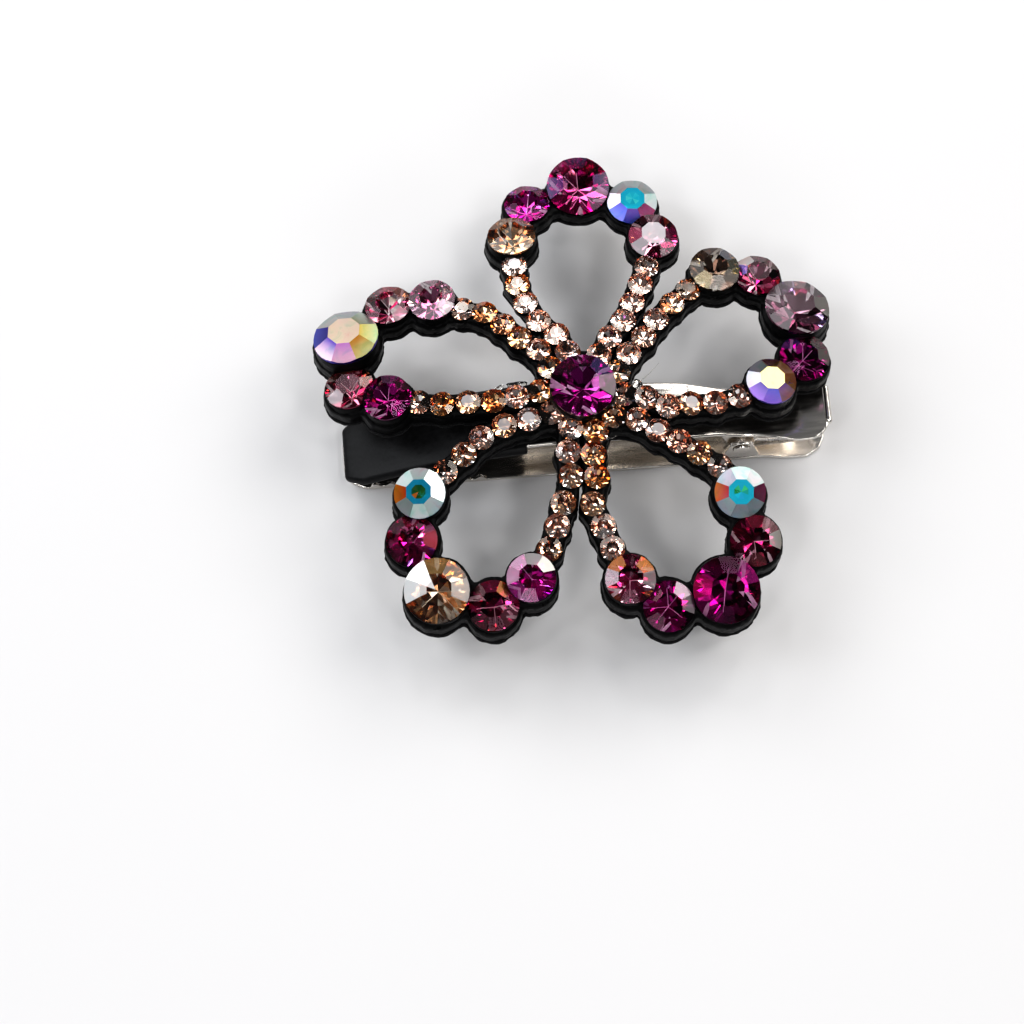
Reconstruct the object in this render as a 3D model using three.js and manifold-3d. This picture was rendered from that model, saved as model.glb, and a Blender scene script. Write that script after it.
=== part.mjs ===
// Alligator hair clip with an open five-petal rhinestone flower. Millimetres, +Z up.
// The clip lies on its lower jaw along X, its jaws opening towards -X; the flower stands on the arched upper jaw.
// The origin is at the middle of the box around the object, on the face it lies on.
import * as THREE from "three";
import { mergeVertices } from "three/addons/utils/BufferGeometryUtils.js";
import Module from "manifold-3d";

const wasm = await Module();
wasm.setup();

// ---------- driving dimensions ----------
const ORIGIN_X = -0.465; // shift of the whole model that puts the origin under the middle of its box
const ORIGIN_Y = 1.655;

const FLOWER_TURN = -4.5; // degrees, flower against the clip
const BASE_TOP = 14.4; // height of the setting's top face at the flower's centre
const BEND_X = 0.0033; // the flower droops by BEND * distance squared
const BEND_Y = 0.0056;
const SETTING_THICK = 2.4;
const FELT_GAP = 0.12;
const FELT_THICK = 0.7;
const ARM_HALF = 1.98; // half width of a petal's arm
const ARM_WEB = 1.86; // half width of the arm between two stones
const RIM_MEDIUM = 0.5; // setting outside a stone
const RIM_LARGE = 0.35;
const OUTLINE_SLACK = 0.12; // how far a thinned outline may leave the round one
const LONGEST_EDGE = 6; // along a bent outline
const PETAL_GAP = 0.12; // between neighbouring petal loops
const HUB_R = 5.6;
const HUB_TOP = 14.3;
const HUB_BOTTOM = 11.85;
const BOSS_R = 3.2;
const BOSS_TOP = 15.55;

const SMALL_D = 3.05;
const SMALL_RAISE = 0.3; // girdle above the setting
const PAV = { L: 0.36, M: 0.38, S: 0.36 }; // pavilion depth / diameter
const CROWN = 0.19; // crown height / diameter
const TABLE = 0.5; // table width / diameter
const POCKET_GAP = 0.09;
const GLUE_R = 0.24; // clear glue bead between two small stones

const CLIP_Y = -1.2; // centre line of the clip
const PLATE_T = 0.6;
const LOWER_HALF = 4.3;
const LOWER_TIP = -30.5;
const TAIL = 31.0;
const ARCH_TOP = 9.8; // mid height of the upper jaw at X = 0
const ARCH = 0.0092;
const STRIP_T = 0.5;
const UPPER_HALF = 4.2;
const BEAD_R = 0.375;
const UPPER_TIP = -29.6;
const SLEEVE_R = 0.75;
const SLEEVE_END = -7.3;
const HINGE_X = 20;
const HINGE_Z = 3.6;
const PIN_R = 0.6;
const PIN_HOLE_R = 0.72;
const EAR_R = 1.7;
const EAR_T = 0.5;
const UPPER_EAR_Y = 2.5; // inner face
const LOWER_EAR_Y = 3.35;
const COIL_R = 1.55;
const WIRE_R = 0.25;
const COIL_TURNS = 5.5;
const COIL_HALF = 1.95;
const DISC_R = 5.4;
const DISC_Z = [10.15, 10.75];
const PAD_R = 4.6;
const PAD_Z = [10.85, 11.75];

// name, x, y, z of the girdle's centre, x and y of the stone's axis, diameter (flower's frame)
const BIG = [
  ["stone_centre", -0.00, -0.00, 16.15, 0.000, 0.000, 8.15],
  ["stone_top_1", -8.83, 21.95, 12.40, -0.058, 0.274, 6.10],
  ["stone_top_2", -6.85, 27.40, 10.34, -0.047, 0.247, 5.90],
  ["stone_top_3", -0.30, 29.95, 10.33, -0.016, -0.037, 8.00],
  ["stone_top_4", 6.61, 27.72, 10.25, 0.019, 0.087, 6.40],
  ["stone_top_5", 9.13, 21.96, 12.38, 0.031, 0.051, 6.23],
  ["stone_right_1", 16.80, 17.15, 12.87, 0.072, 0.141, 6.35],
  ["stone_right_2", 22.26, 16.96, 11.45, 0.101, 0.193, 5.90],
  ["stone_right_3", 27.11, 12.19, 12.14, 0.127, 0.223, 8.19],
  ["stone_right_4", 27.84, 5.48, 11.97, 0.122, 0.015, 6.37],
  ["stone_right_5", 23.45, 1.55, 13.67, 0.104, 0.097, 6.29],
  ["stone_left_1", -18.83, 12.74, 13.27, -0.108, 0.167, 5.90],
  ["stone_left_2", -24.38, 12.61, 11.85, -0.139, 0.242, 5.90],
  ["stone_left_3", -29.58, 8.05, 12.15, -0.166, 0.282, 8.30],
  ["stone_left_4", -29.05, 1.44, 11.80, -0.161, 0.214, 6.23],
  ["stone_left_5", -24.27, -0.59, 13.60, -0.135, 0.071, 6.16],
  ["stone_lower_left_1", -20.11, -13.05, 13.11, -0.111, -0.150, 6.40],
  ["stone_lower_left_2", -21.06, -18.62, 11.34, -0.115, -0.154, 6.40],
  ["stone_lower_left_3", -17.95, -24.91, 10.81, -0.100, -0.222, 8.14],
  ["stone_lower_left_4", -11.03, -26.68, 10.31, -0.068, -0.160, 6.38],
  ["stone_lower_left_5", -6.39, -23.66, 12.08, -0.046, -0.161, 6.11],
  ["stone_lower_right_1", 19.27, -12.92, 13.19, 0.076, -0.291, 6.40],
  ["stone_lower_right_2", 21.18, -18.58, 11.34, 0.084, -0.264, 6.40],
  ["stone_lower_right_3", 17.49, -24.81, 10.89, 0.066, -0.304, 8.30],
  ["stone_lower_right_4", 10.44, -26.73, 10.34, 0.033, -0.259, 6.38],
  ["stone_lower_right_5", 5.71, -23.81, 12.07, 0.012, -0.163, 6.24],
];

// name, row, x and y of each stone from the petal's tip to the hub (flower's frame)
const ROWS = [
  ["stones_top_left_arm", "top_a", [[-8.45, 17.78], [-8.08, 14.92], [-7.07, 12.24], [-5.47, 9.56], [-3.23, 7.73], [-1.82, 5.21]]],
  ["stones_top_right_arm", "top_b", [[8.23, 17.65], [7.37, 14.94], [6.32, 12.28], [5.14, 9.65], [3.43, 7.34], [2.07, 4.79]]],
  ["stones_left_upper_arm", "left_a", [[-15.01, 11.59], [-12.21, 10.93], [-9.91, 9.21], [-7.84, 7.21], [-5.47, 5.57], [-4.07, 3.05]]],
  ["stones_left_lower_arm", "left_b", [[-20.35, -1.06], [-17.45, -1.47], [-14.22, -1.34], [-11.06, -1.31], [-8.21, -0.79], [-5.30, -0.11]]],
  ["stones_right_upper_arm", "right_a", [[13.40, 14.36], [11.32, 12.22], [9.26, 9.92], [7.65, 7.33], [5.78, 5.07], [4.41, 2.52]]],
  ["stones_right_lower_arm", "right_b", [[19.50, -0.24], [16.47, -1.31], [13.43, -1.50], [10.59, -2.01], [7.93, -0.88], [5.05, -0.52]]],
  ["stones_lower_left_outer_arm", "lowleft_a", [[-17.01, -10.22], [-14.69, -8.15], [-12.54, -6.04], [-9.70, -4.57], [-6.68, -3.79], [-3.90, -2.96]]],
  ["stones_lower_left_inner_arm", "lowleft_b", [[-4.18, -20.02], [-3.19, -17.30], [-2.45, -14.43], [-1.47, -11.13], [-1.84, -8.02], [-1.52, -4.97]]],
  ["stones_lower_right_outer_arm", "lowright_a", [[16.83, -9.45], [14.33, -7.93], [11.84, -6.48], [9.25, -5.20], [6.75, -3.77], [3.87, -3.40]]],
  ["stones_lower_right_inner_arm", "lowright_b", [[3.55, -19.91], [2.44, -17.29], [1.17, -14.55], [1.65, -11.20], [1.26, -8.35], [1.55, -5.48]]],
];

const LARGE = new Set(["stone_centre", "stone_top_3", "stone_right_3", "stone_left_3", "stone_lower_left_3", "stone_lower_right_3"]);
const PETALS = {
  top: ["top_a", "top_b"],
  right: ["right_a", "right_b"],
  left: ["left_a", "left_b"],
  lower_left: ["lowleft_a", "lowleft_b"],
  lower_right: ["lowright_a", "lowright_b"],
};

// ---------- helpers ----------
const surface = (x, y) => BASE_TOP - BEND_X * x * x - BEND_Y * y * y;
const surfaceNormal = (x, y) => new THREE.Vector3(2 * BEND_X * x, 2 * BEND_Y * y, 1).normalize();
const UP = new THREE.Vector3(0, 0, 1);

function solid(geometry, matrix) {
  const g = geometry.clone();
  for (const k of Object.keys(g.attributes)) if (k !== "position") g.deleteAttribute(k);
  if (matrix) g.applyMatrix4(matrix);
  const m = mergeVertices(g, 1e-4);
  const i = m.index.array,
    tri = [];
  for (let k = 0; k < i.length; k += 3)
    if (i[k] !== i[k + 1] && i[k + 1] !== i[k + 2] && i[k] !== i[k + 2]) tri.push(i[k], i[k + 1], i[k + 2]);
  return new wasm.Manifold(
    new wasm.Mesh({ numProp: 3, vertProperties: new Float32Array(m.attributes.position.array), triVerts: new Uint32Array(tri) }),
  );
}

function geometryOf(s) {
  const m = s.getMesh(),
    v = new Float32Array(m.numVert * 3);
  for (let i = 0; i < m.numVert; i++)
    for (let k = 0; k < 3; k++) v[3 * i + k] = m.vertProperties[i * m.numProp + k];
  const g = new THREE.BufferGeometry();
  g.setAttribute("position", new THREE.BufferAttribute(v, 3));
  g.setIndex(new THREE.BufferAttribute(new Uint32Array(m.triVerts), 1));
  const flat = g.toNonIndexed();
  flat.computeVertexNormals();
  return flat;
}

const union = (list) => list.reduce((a, b) => a.add(b));
const place = (x, y, z, axis = UP, turn = 0) => {
  const q = new THREE.Quaternion().setFromUnitVectors(UP, axis).multiply(new THREE.Quaternion().setFromAxisAngle(UP, turn));
  return new THREE.Matrix4().compose(new THREE.Vector3(x, y, z), q, new THREE.Vector3(1, 1, 1));
};

// A closed solid from rings of equal length; every ring runs anticlockwise as seen from the last ring.
function loft(rings) {
  const n = rings[0].length,
    pos = [],
    idx = [];
  rings.forEach((r) => r.forEach((p) => pos.push(...p)));
  for (let k = 0; k + 1 < rings.length; k++)
    for (let i = 0; i < n; i++) {
      const a = k * n + i,
        b = k * n + ((i + 1) % n);
      idx.push(a, b, b + n, a, b + n, a + n);
    }
  const last = (rings.length - 1) * n;
  for (let i = 1; i + 1 < n; i++) {
    idx.push(0, i + 1, i);
    idx.push(last, last + i, last + i + 1);
  }
  const g = new THREE.BufferGeometry();
  g.setAttribute("position", new THREE.Float32BufferAttribute(pos, 3));
  g.setIndex(idx);
  return solid(g);
}

// A straight round bar or cone along +Z from z0 to z1.
const bar = (r0, r1, z0, z1, sides) => {
  const g = new THREE.CylinderGeometry(r1, r0, z1 - z0, sides);
  g.rotateX(Math.PI / 2);
  g.translate(0, 0, (z0 + z1) / 2);
  return g;
};

// A plate cut from an outline in the XY plane.
function plate(points, z0, z1) {
  const g = new THREE.ExtrudeGeometry(new THREE.Shape(points.map(([x, y]) => new THREE.Vector2(x, y))), {
    depth: z1 - z0,
    bevelEnabled: false,
  });
  g.translate(0, 0, z0);
  return solid(g);
}

// A plate cut from an outline in the XZ plane, between two values of Y, with a round hole.
function cheek(points, y0, y1, hole) {
  const pts = points.map(([x, z]) => new THREE.Vector2(x, z));
  if (THREE.ShapeUtils.isClockWise(pts)) pts.reverse();
  const s = new THREE.Shape(pts);
  if (hole) {
    const h = new THREE.Path();
    h.absarc(hole[0], hole[1], hole[2], 0, 2 * Math.PI, true);
    s.holes.push(h);
  }
  const g = new THREE.ExtrudeGeometry(s, { depth: y1 - y0, bevelEnabled: false, curveSegments: 12 });
  g.rotateX(Math.PI / 2);
  g.translate(0, y1, 0);
  return solid(g);
}

// ---------- stones ----------
// A chaton-cut stone: flat eight-sided table, crown facets, sharp sixteen-sided girdle at z = 0 and pointed pavilion.
function bigStone(d, pav) {
  const r = d / 2,
    ring = (rad, z, n) =>
      Array.from({ length: n }, (_, i) => {
        const a = (i * 2 * Math.PI) / n;
        return [rad * Math.cos(a), rad * Math.sin(a), z];
      });
  const pos = [...ring(r * TABLE * 1.04, CROWN * d, 8), ...ring(r, 0, 16), [0, 0, -pav * d]].flat(),
    T = (i) => i % 8,
    A = (i) => 8 + (i % 16),
    idx = [];
  for (let i = 1; i < 7; i++) idx.push(0, i, i + 1);
  for (let i = 0; i < 8; i++) {
    idx.push(T(i), A(2 * i), A(2 * i + 1));
    idx.push(T(i), A(2 * i + 1), T(i + 1));
    idx.push(T(i + 1), A(2 * i + 1), A(2 * i + 2));
  }
  for (let i = 0; i < 16; i++) idx.push(A(i), 24, A(i + 1));
  const g = new THREE.BufferGeometry();
  g.setAttribute("position", new THREE.Float32BufferAttribute(pos, 3));
  g.setIndex(idx);
  return g;
}

function smallStone(d) {
  const r = d / 2;
  const g = new THREE.LatheGeometry(
    [
      new THREE.Vector2(0, -PAV.S * d),
      new THREE.Vector2(r, 0),
      new THREE.Vector2(r * TABLE, CROWN * d),
      new THREE.Vector2(0, CROWN * d),
    ],
    8,
  );
  g.rotateX(Math.PI / 2);
  return g;
}

// The hollow that a stone sits in: its pavilion and girdle, a little larger.
function pocket(d, pav, sides, turn) {
  const r = d / 2 + POCKET_GAP,
    g = new THREE.LatheGeometry(
      [
        new THREE.Vector2(0, -pav * d - POCKET_GAP * 1.8),
        new THREE.Vector2(r, -0.02),
        new THREE.Vector2(r, 2.6),
        new THREE.Vector2(0, 2.6),
      ],
      sides,
    );
  g.rotateX(Math.PI / 2);
  g.rotateZ(turn);
  return g;
}

const big = BIG.map(([name, x, y, z, nx, ny, d], i) => {
  const axis = new THREE.Vector3(nx, ny, Math.sqrt(1 - nx * nx - ny * ny)),
    pav = LARGE.has(name) ? PAV.L : PAV.M,
    turn = (i * 0.61803) % (Math.PI / 4);
  return { name, x, y, z, axis, d, pav, turn, petal: name.replace(/^stone_/, "").replace(/_\d$/, "") };
});
const rows = ROWS.map(([name, row, pts]) => ({
  name,
  row,
  stones: pts.map(([x, y], i) => ({ x, y, z: surface(x, y) + SMALL_RAISE, axis: surfaceNormal(x, y), turn: (i * 0.37) % (Math.PI / 4) })),
}));

const bigSolid = new Map(big.map((s) => [s.name, solid(bigStone(s.d, s.pav), place(s.x, s.y, s.z, s.axis, s.turn))]));
const rowSolid = new Map(
  rows.map((r) => {
    const parts = r.stones.map((s) => solid(smallStone(SMALL_D), place(s.x, s.y, s.z, s.axis, s.turn)));
    for (let i = 0; i + 1 < r.stones.length; i++) {
      const a = new THREE.Vector3(r.stones[i].x, r.stones[i].y, r.stones[i].z),
        b = new THREE.Vector3(r.stones[i + 1].x, r.stones[i + 1].y, r.stones[i + 1].z),
        dir = b.clone().sub(a),
        len = dir.length();
      dir.normalize();
      const lo = 0.36 * SMALL_D,
        from = a.clone().addScaledVector(dir, lo);
      parts.push(solid(bar(GLUE_R, GLUE_R, 0, len - 2 * lo, 3), place(from.x, from.y, from.z, dir)));
    }
    return [r.name, union(parts)];
  }),
);
// Everything that the setting must make room for.
const bigPockets = big.map((s) => solid(pocket(s.d, s.pav, 16, s.turn), place(s.x, s.y, s.z, s.axis)));
const rowPockets = new Map(
  rows.map((r) => [r.row, r.stones.map((s) => solid(pocket(SMALL_D, PAV.S, 8, s.turn), place(s.x, s.y, s.z, s.axis)))]),
);

// ---------- black setting and felt ----------
const SLAB = 1;
const disc = (x, y, r, n) => {
  const g = bar(r, r, 0, SLAB, n);
  return solid(g, place(x, y, 0));
};
const web = (a, b, half) => {
  const dx = b[0] - a[0],
    dy = b[1] - a[1],
    l = Math.hypot(dx, dy),
    nx = (-dy / l) * half,
    ny = (dx / l) * half;
  return plate(
    [
      [a[0] + nx, a[1] + ny],
      [a[0] - nx, a[1] - ny],
      [b[0] - nx, b[1] - ny],
      [b[0] + nx, b[1] + ny],
    ],
    0,
    SLAB,
  );
};

// The flat outline of one petal: discs under its stones, joined along the loop.
function petalSlab(petal, extra, bigSides, smallSides) {
  const [ra, rb] = PETALS[petal].map((k) => rows.find((r) => r.row === k)),
    tips = big.filter((s) => s.petal === petal).map((s) => ({ ...s, bx: s.x - s.axis.x * 0.8, by: s.y - s.axis.y * 0.8 })),
    parts = [];
  tips.forEach((s, i) => {
    parts.push(disc(s.bx, s.by, s.d / 2 + (LARGE.has(s.name) ? RIM_LARGE : RIM_MEDIUM) + extra, bigSides));
    if (i) parts.push(web([tips[i - 1].bx, tips[i - 1].by], [s.bx, s.by], 2.2 + extra));
  });
  for (const r of [ra, rb]) {
    const near = [tips[0], tips[tips.length - 1]].sort(
      (p, q) => Math.hypot(p.bx - r.stones[0].x, p.by - r.stones[0].y) - Math.hypot(q.bx - r.stones[0].x, q.by - r.stones[0].y),
    )[0];
    parts.push(web([near.bx, near.by], [r.stones[0].x, r.stones[0].y], ARM_WEB + extra));
    r.stones.forEach((s, i) => {
      parts.push(disc(s.x, s.y, ARM_HALF + extra, smallSides));
      if (i) parts.push(web([r.stones[i - 1].x, r.stones[i - 1].y], [s.x, s.y], ARM_WEB + extra));
    });
    const s = r.stones[5];
    parts.push(web([s.x, s.y], [s.x * 0.4, s.y * 0.4], ARM_WEB + extra));
  }
  return union(parts);
}

// The closed loops around the top face of a flat slab, each thinned to the points that shape it.
function outlines(slab, slack) {
  const m = slab.getMesh(),
    n = m.numProp,
    xy = [],
    at = new Map(),
    idOf = (i) => {
      const x = m.vertProperties[i * n],
        y = m.vertProperties[i * n + 1],
        k = x.toFixed(4) + "," + y.toFixed(4);
      if (!at.has(k)) {
        at.set(k, xy.length);
        xy.push(new THREE.Vector2(x, y));
      }
      return at.get(k);
    },
    edges = new Map();
  for (let t = 0; t < m.triVerts.length; t += 3) {
    const v = [m.triVerts[t], m.triVerts[t + 1], m.triVerts[t + 2]];
    if (!v.every((i) => m.vertProperties[i * n + 2] > SLAB - 1e-4)) continue;
    const [a, b, c] = v.map(idOf);
    for (const [p, q] of [
      [a, b],
      [b, c],
      [c, a],
    ])
      edges.set(p + "," + q, [p, q]);
  }
  const next = new Map();
  for (const [p, q] of edges.values()) if (!edges.has(q + "," + p)) next.set(p, q);
  const loops = [];
  while (next.size) {
    const start = next.keys().next().value,
      loop = [];
    for (let p = start; next.has(p); ) {
      loop.push(xy[p]);
      const q = next.get(p);
      next.delete(p);
      p = q;
    }
    loops.push(loop);
  }
  const thin = (pts) => {
    if (pts.length < 3) return pts;
    const a = pts[0],
      b = pts[pts.length - 1],
      d = b.clone().sub(a),
      l = d.length() || 1e-9;
    let far = -1,
      most = slack;
    for (let i = 1; i + 1 < pts.length; i++) {
      const e = pts[i].clone().sub(a),
        off = l < 1e-6 ? e.length() : Math.abs(e.cross(d)) / l;
      if (off > most) {
        most = off;
        far = i;
      }
    }
    return far < 0 ? [a, b] : [...thin(pts.slice(0, far + 1)).slice(0, -1), ...thin(pts.slice(far))];
  };
  return loops
    .map((l) => {
      let far = 0;
      l.forEach((p, i) => {
        if (p.distanceTo(l[0]) > l[far].distanceTo(l[0])) far = i;
      });
      const thinned = [...thin(l.slice(0, far + 1)).slice(0, -1), ...thin([...l.slice(far), l[0]]).slice(0, -1)];
      return thinned.flatMap((p, i) => {
        const q = thinned[(i + 1) % thinned.length],
          k = Math.ceil(p.distanceTo(q) / LONGEST_EDGE);
        return Array.from({ length: k }, (_, j) => p.clone().lerp(q, j / k));
      });
    })
    .filter((l) => l.length > 2 && Math.abs(THREE.ShapeUtils.area(l)) > 0.3)
    .sort((p, q) => Math.abs(THREE.ShapeUtils.area(q)) - Math.abs(THREE.ShapeUtils.area(p)));
}

// A sheet bent to the flower's surface: it keeps the slab's outline and spans from top down to top - thick.
function bent(slab, top, thick, slack) {
  const [outer, ...holes] = outlines(slab, slack),
    tris = THREE.ShapeUtils.triangulateShape(outer, holes),
    xy = [outer, ...holes].flat(),
    N = xy.length,
    pos = [],
    idx = [];
  for (const { x, y } of xy) pos.push(x, y, surface(x, y) + top);
  for (const { x, y } of xy) pos.push(x, y, surface(x, y) + top - thick);
  for (const [a, b, c] of tris) idx.push(a, b, c, a + N, c + N, b + N);
  let base = 0;
  for (const loop of [outer, ...holes]) {
    loop.forEach((_, i) => {
      const p = base + i,
        q = base + ((i + 1) % loop.length);
      idx.push(p, p + N, q + N, p, q + N, q);
    });
    base += loop.length;
  }
  const g = new THREE.BufferGeometry();
  g.setAttribute("position", new THREE.Float32BufferAttribute(pos, 3));
  g.setIndex(idx);
  return solid(g);
}

// Each petal owns the ground nearer to its own arms than to its neighbours'.
const between = (p, q) => Math.atan2(p.y / Math.hypot(p.x, p.y) + q.y / Math.hypot(q.x, q.y), p.x / Math.hypot(p.x, p.y) + q.x / Math.hypot(q.x, q.y));
const last = (k, i = 4) => rows.find((r) => r.row === k).stones[i];
const EDGES = {
  top: [between(last("right_a"), last("top_b")), between(last("top_a"), last("left_a"))],
  left: [between(last("top_a"), last("left_a")), between(last("left_b"), last("lowleft_a"))],
  lower_left: [between(last("left_b"), last("lowleft_a")), between(last("lowleft_b"), last("lowright_b"))],
  lower_right: [between(last("lowleft_b"), last("lowright_b")), between(last("lowright_a"), last("right_b"))],
  right: [between(last("lowright_a"), last("right_b")), between(last("right_a"), last("top_b"))],
};
function sector([a0, a1]) {
  while (a1 < a0) a1 += 2 * Math.PI;
  const pts = [],
    h = PETAL_GAP / 2 / Math.sin((a1 - a0) / 2),
    m = (a0 + a1) / 2,
    c = [h * Math.cos(m), h * Math.sin(m)],
    R = 60;
  pts.push(c);
  for (let i = 0; i <= 4; i++) {
    const a = a0 + ((a1 - a0) * i) / 4;
    pts.push([c[0] + R * Math.cos(a), c[1] + R * Math.sin(a)]);
  }
  return plate(pts, -1, SLAB + 1);
}
const hubCut = solid(bar(HUB_R + 0.1, HUB_R + 0.1, -1, SLAB + 1, 24));

const petalSolid = new Map(),
  feltSolid = new Map();
for (const petal of Object.keys(PETALS)) {
  let flat = petalSlab(petal, 0, 20, 10).intersect(sector(EDGES[petal])).subtract(hubCut);
  const pieces = flat.decompose().sort((a, b) => b.volume() - a.volume());
  let s = bent(pieces[0], 0, SETTING_THICK, OUTLINE_SLACK);
  for (const p of bigPockets) s = s.subtract(p);
  for (const list of rowPockets.values()) for (const p of list) s = s.subtract(p);
  feltSolid.set("felt_" + petal, bent(pieces[0], -SETTING_THICK - FELT_GAP, FELT_THICK, OUTLINE_SLACK));
  petalSolid.set("petal_" + petal, s.decompose().sort((a, b) => b.volume() - a.volume())[0]);
}
let hub = solid(bar(HUB_R, HUB_R, HUB_BOTTOM, HUB_TOP, 24)).add(solid(bar(BOSS_R + 0.25, BOSS_R, HUB_TOP - 0.1, BOSS_TOP, 16)));
for (const p of bigPockets) hub = hub.subtract(p);
for (const list of rowPockets.values()) for (const p of list) hub = hub.subtract(p);
hub = hub.decompose().sort((a, b) => b.volume() - a.volume())[0];

// ---------- clip ----------
const arch = (x) => ARCH_TOP - ARCH * x * x;
const tailPath = [
  [20.0, 6.2],
  [22.0, 6.05],
  [24.0, 6.12],
  [27.0, 6.45],
  [29.5, 6.78],
  [TAIL, 6.98],
];
const stations = (from, to, step) => {
  const n = Math.ceil((to - from) / step);
  return Array.from({ length: n + 1 }, (_, i) => from + ((to - from) * i) / n);
};
// A box-section strip: [x, z, half width] per station.
const strip = (list, t, yc) =>
  loft(
    list.map(([x, z, w], i) => {
      const a = list[Math.max(0, i - 1)],
        b = list[Math.min(list.length - 1, i + 1)],
        l = Math.hypot(b[0] - a[0], b[1] - a[1]),
        nx = -(b[1] - a[1]) / l,
        nz = (b[0] - a[0]) / l;
      return [
        [x - (nx * t) / 2, yc - w, z - (nz * t) / 2],
        [x - (nx * t) / 2, yc + w, z - (nz * t) / 2],
        [x + (nx * t) / 2, yc + w, z + (nz * t) / 2],
        [x + (nx * t) / 2, yc - w, z + (nz * t) / 2],
      ];
    }),
  );
// A rounded-section bar along the same path: section given as [across Y, along the normal].
const sweep = (list, section, yc) =>
  loft(
    list.map(([x, z], i) => {
      const a = list[Math.max(0, i - 1)],
        b = list[Math.min(list.length - 1, i + 1)],
        l = Math.hypot(b[0] - a[0], b[1] - a[1]),
        nx = -(b[1] - a[1]) / l,
        nz = (b[0] - a[0]) / l;
      return section.map(([y, h]) => [x + nx * h, yc + y, z + nz * h]);
    }),
  );
const round = (r, n, y = 0, off = 0.5) =>
  Array.from({ length: n }, (_, i) => {
    const a = ((i + off) * 2 * Math.PI) / n;
    return [y + r * Math.cos(a), r * Math.sin(a)];
  });
const stadium = (half, r, n) => {
  const out = [];
  for (let i = 0; i <= n; i++) {
    const a = -Math.PI / 2 + (Math.PI * i) / n;
    out.push([half - r + r * Math.cos(a), r * Math.sin(a)]);
  }
  for (let i = 0; i <= n; i++) {
    const a = Math.PI / 2 + (Math.PI * i) / n;
    out.push([-half + r + r * Math.cos(a), r * Math.sin(a)]);
  }
  return out;
};

const archXs = stations(UPPER_TIP, 19, 4.0);
const widthAt = (x) => {
  if (x < UPPER_TIP + 3) return UPPER_HALF - BEAD_R - 0.9 * ((UPPER_TIP + 3 - x) / 3) ** 2;
  if (x < 13) return UPPER_HALF - BEAD_R;
  if (x < 17) return UPPER_HALF - BEAD_R + ((3.0 - UPPER_HALF + BEAD_R) * (x - 13)) / 4;
  return 3.0;
};
const upperList = [
  ...archXs.filter((x) => x < 12).map((x) => [x, arch(x), widthAt(x)]),
  [13, arch(13), widthAt(13)],
  [17, arch(17) + 0.02, 3.0],
  [20.0, 6.2, 3.0],
  [22.0, 6.05, 3.0],
  [24.0, 6.12, 3.4],
  [27.0, 6.45, 4.2],
  [29.0, 6.72, 4.2],
  [30.4, 6.9, 3.5],
  [TAIL, 6.98, 2.4],
];
let upper = strip(upperList, STRIP_T, CLIP_Y);
const beadXs = stations(UPPER_TIP + 1.2, 12.5, 5.3);
for (const side of [-1, 1])
  upper = upper.add(
    sweep(
      beadXs.map((x) => [x, arch(x)]),
      round(BEAD_R, 6, side * (UPPER_HALF - BEAD_R)),
      CLIP_Y,
    ),
  );
// rolled end of the thumb tab
upper = upper.add(solid(bar(0.45, 0.45, -2.6, 2.6, 8), new THREE.Matrix4().makeTranslation(TAIL, CLIP_Y, 7.0).multiply(new THREE.Matrix4().makeRotationX(Math.PI / 2))));
const earOutline = (top, half, z) => [
  [HINGE_X - half, z],
  [HINGE_X - EAR_R, HINGE_Z],
  ...Array.from({ length: 7 }, (_, i) => {
    const a = Math.PI + ((i + 1) * Math.PI) / 8;
    return [HINGE_X + EAR_R * Math.cos(a), HINGE_Z + (top ? 1 : -1) * EAR_R * Math.sin(a)];
  }),
  [HINGE_X + EAR_R, HINGE_Z],
  [HINGE_X + half, z],
];
for (const side of [-1, 1]) {
  const y = side > 0 ? [UPPER_EAR_Y, UPPER_EAR_Y + EAR_T] : [-UPPER_EAR_Y - EAR_T, -UPPER_EAR_Y];
  upper = upper.add(cheek(earOutline(true, 2.6, 6.15), CLIP_Y + y[0], CLIP_Y + y[1], [HINGE_X, HINGE_Z, PIN_HOLE_R]));
}

// lower jaw: flat plate, toothed side flanges near the tip, ears for the pin, thumb tab
const L = LOWER_HALF;
const lowerOutline = [
  [LOWER_TIP + 2.6, -L],
  [15.5, -L],
  [17.2, -3.95],
  [23, -3.95],
  [25.5, -L],
  [28.6, -L],
  [30.2, -3.4],
  [TAIL, -1.8],
  [TAIL, 1.8],
  [30.2, 3.4],
  [28.6, L],
  [25.5, L],
  [23, 3.95],
  [17.2, 3.95],
  [15.5, L],
  [LOWER_TIP + 2.6, L],
  [LOWER_TIP + 0.8, 3.4],
  [LOWER_TIP, 1.8],
  [LOWER_TIP, -1.8],
  [LOWER_TIP + 0.8, -3.4],
].map(([x, y]) => [x, y + CLIP_Y]);
let lower = plate(lowerOutline, 0, PLATE_T);
const teeth = [[-27.5, PLATE_T - 0.1]];
for (let i = 0; i < 8; i++) {
  const x = -27.5 + i * 1.9;
  teeth.push([x + 0.3, 0.8], [x + 0.95, 1.45], [x + 1.6, 0.8]);
}
teeth.push([-27.5 + 8 * 1.9, PLATE_T - 0.1]);
for (const side of [-1, 1]) {
  const t = side > 0 ? [L - 0.45, L - 0.02] : [-L + 0.02, -L + 0.45];
  lower = lower.add(cheek(teeth, CLIP_Y + t[0], CLIP_Y + t[1]));
  const y = side > 0 ? [LOWER_EAR_Y, LOWER_EAR_Y + EAR_T] : [-LOWER_EAR_Y - EAR_T, -LOWER_EAR_Y];
  lower = lower.add(cheek(earOutline(false, 2.6, PLATE_T - 0.2), CLIP_Y + y[0], CLIP_Y + y[1], [HINGE_X, HINGE_Z, PIN_HOLE_R]));
}

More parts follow.
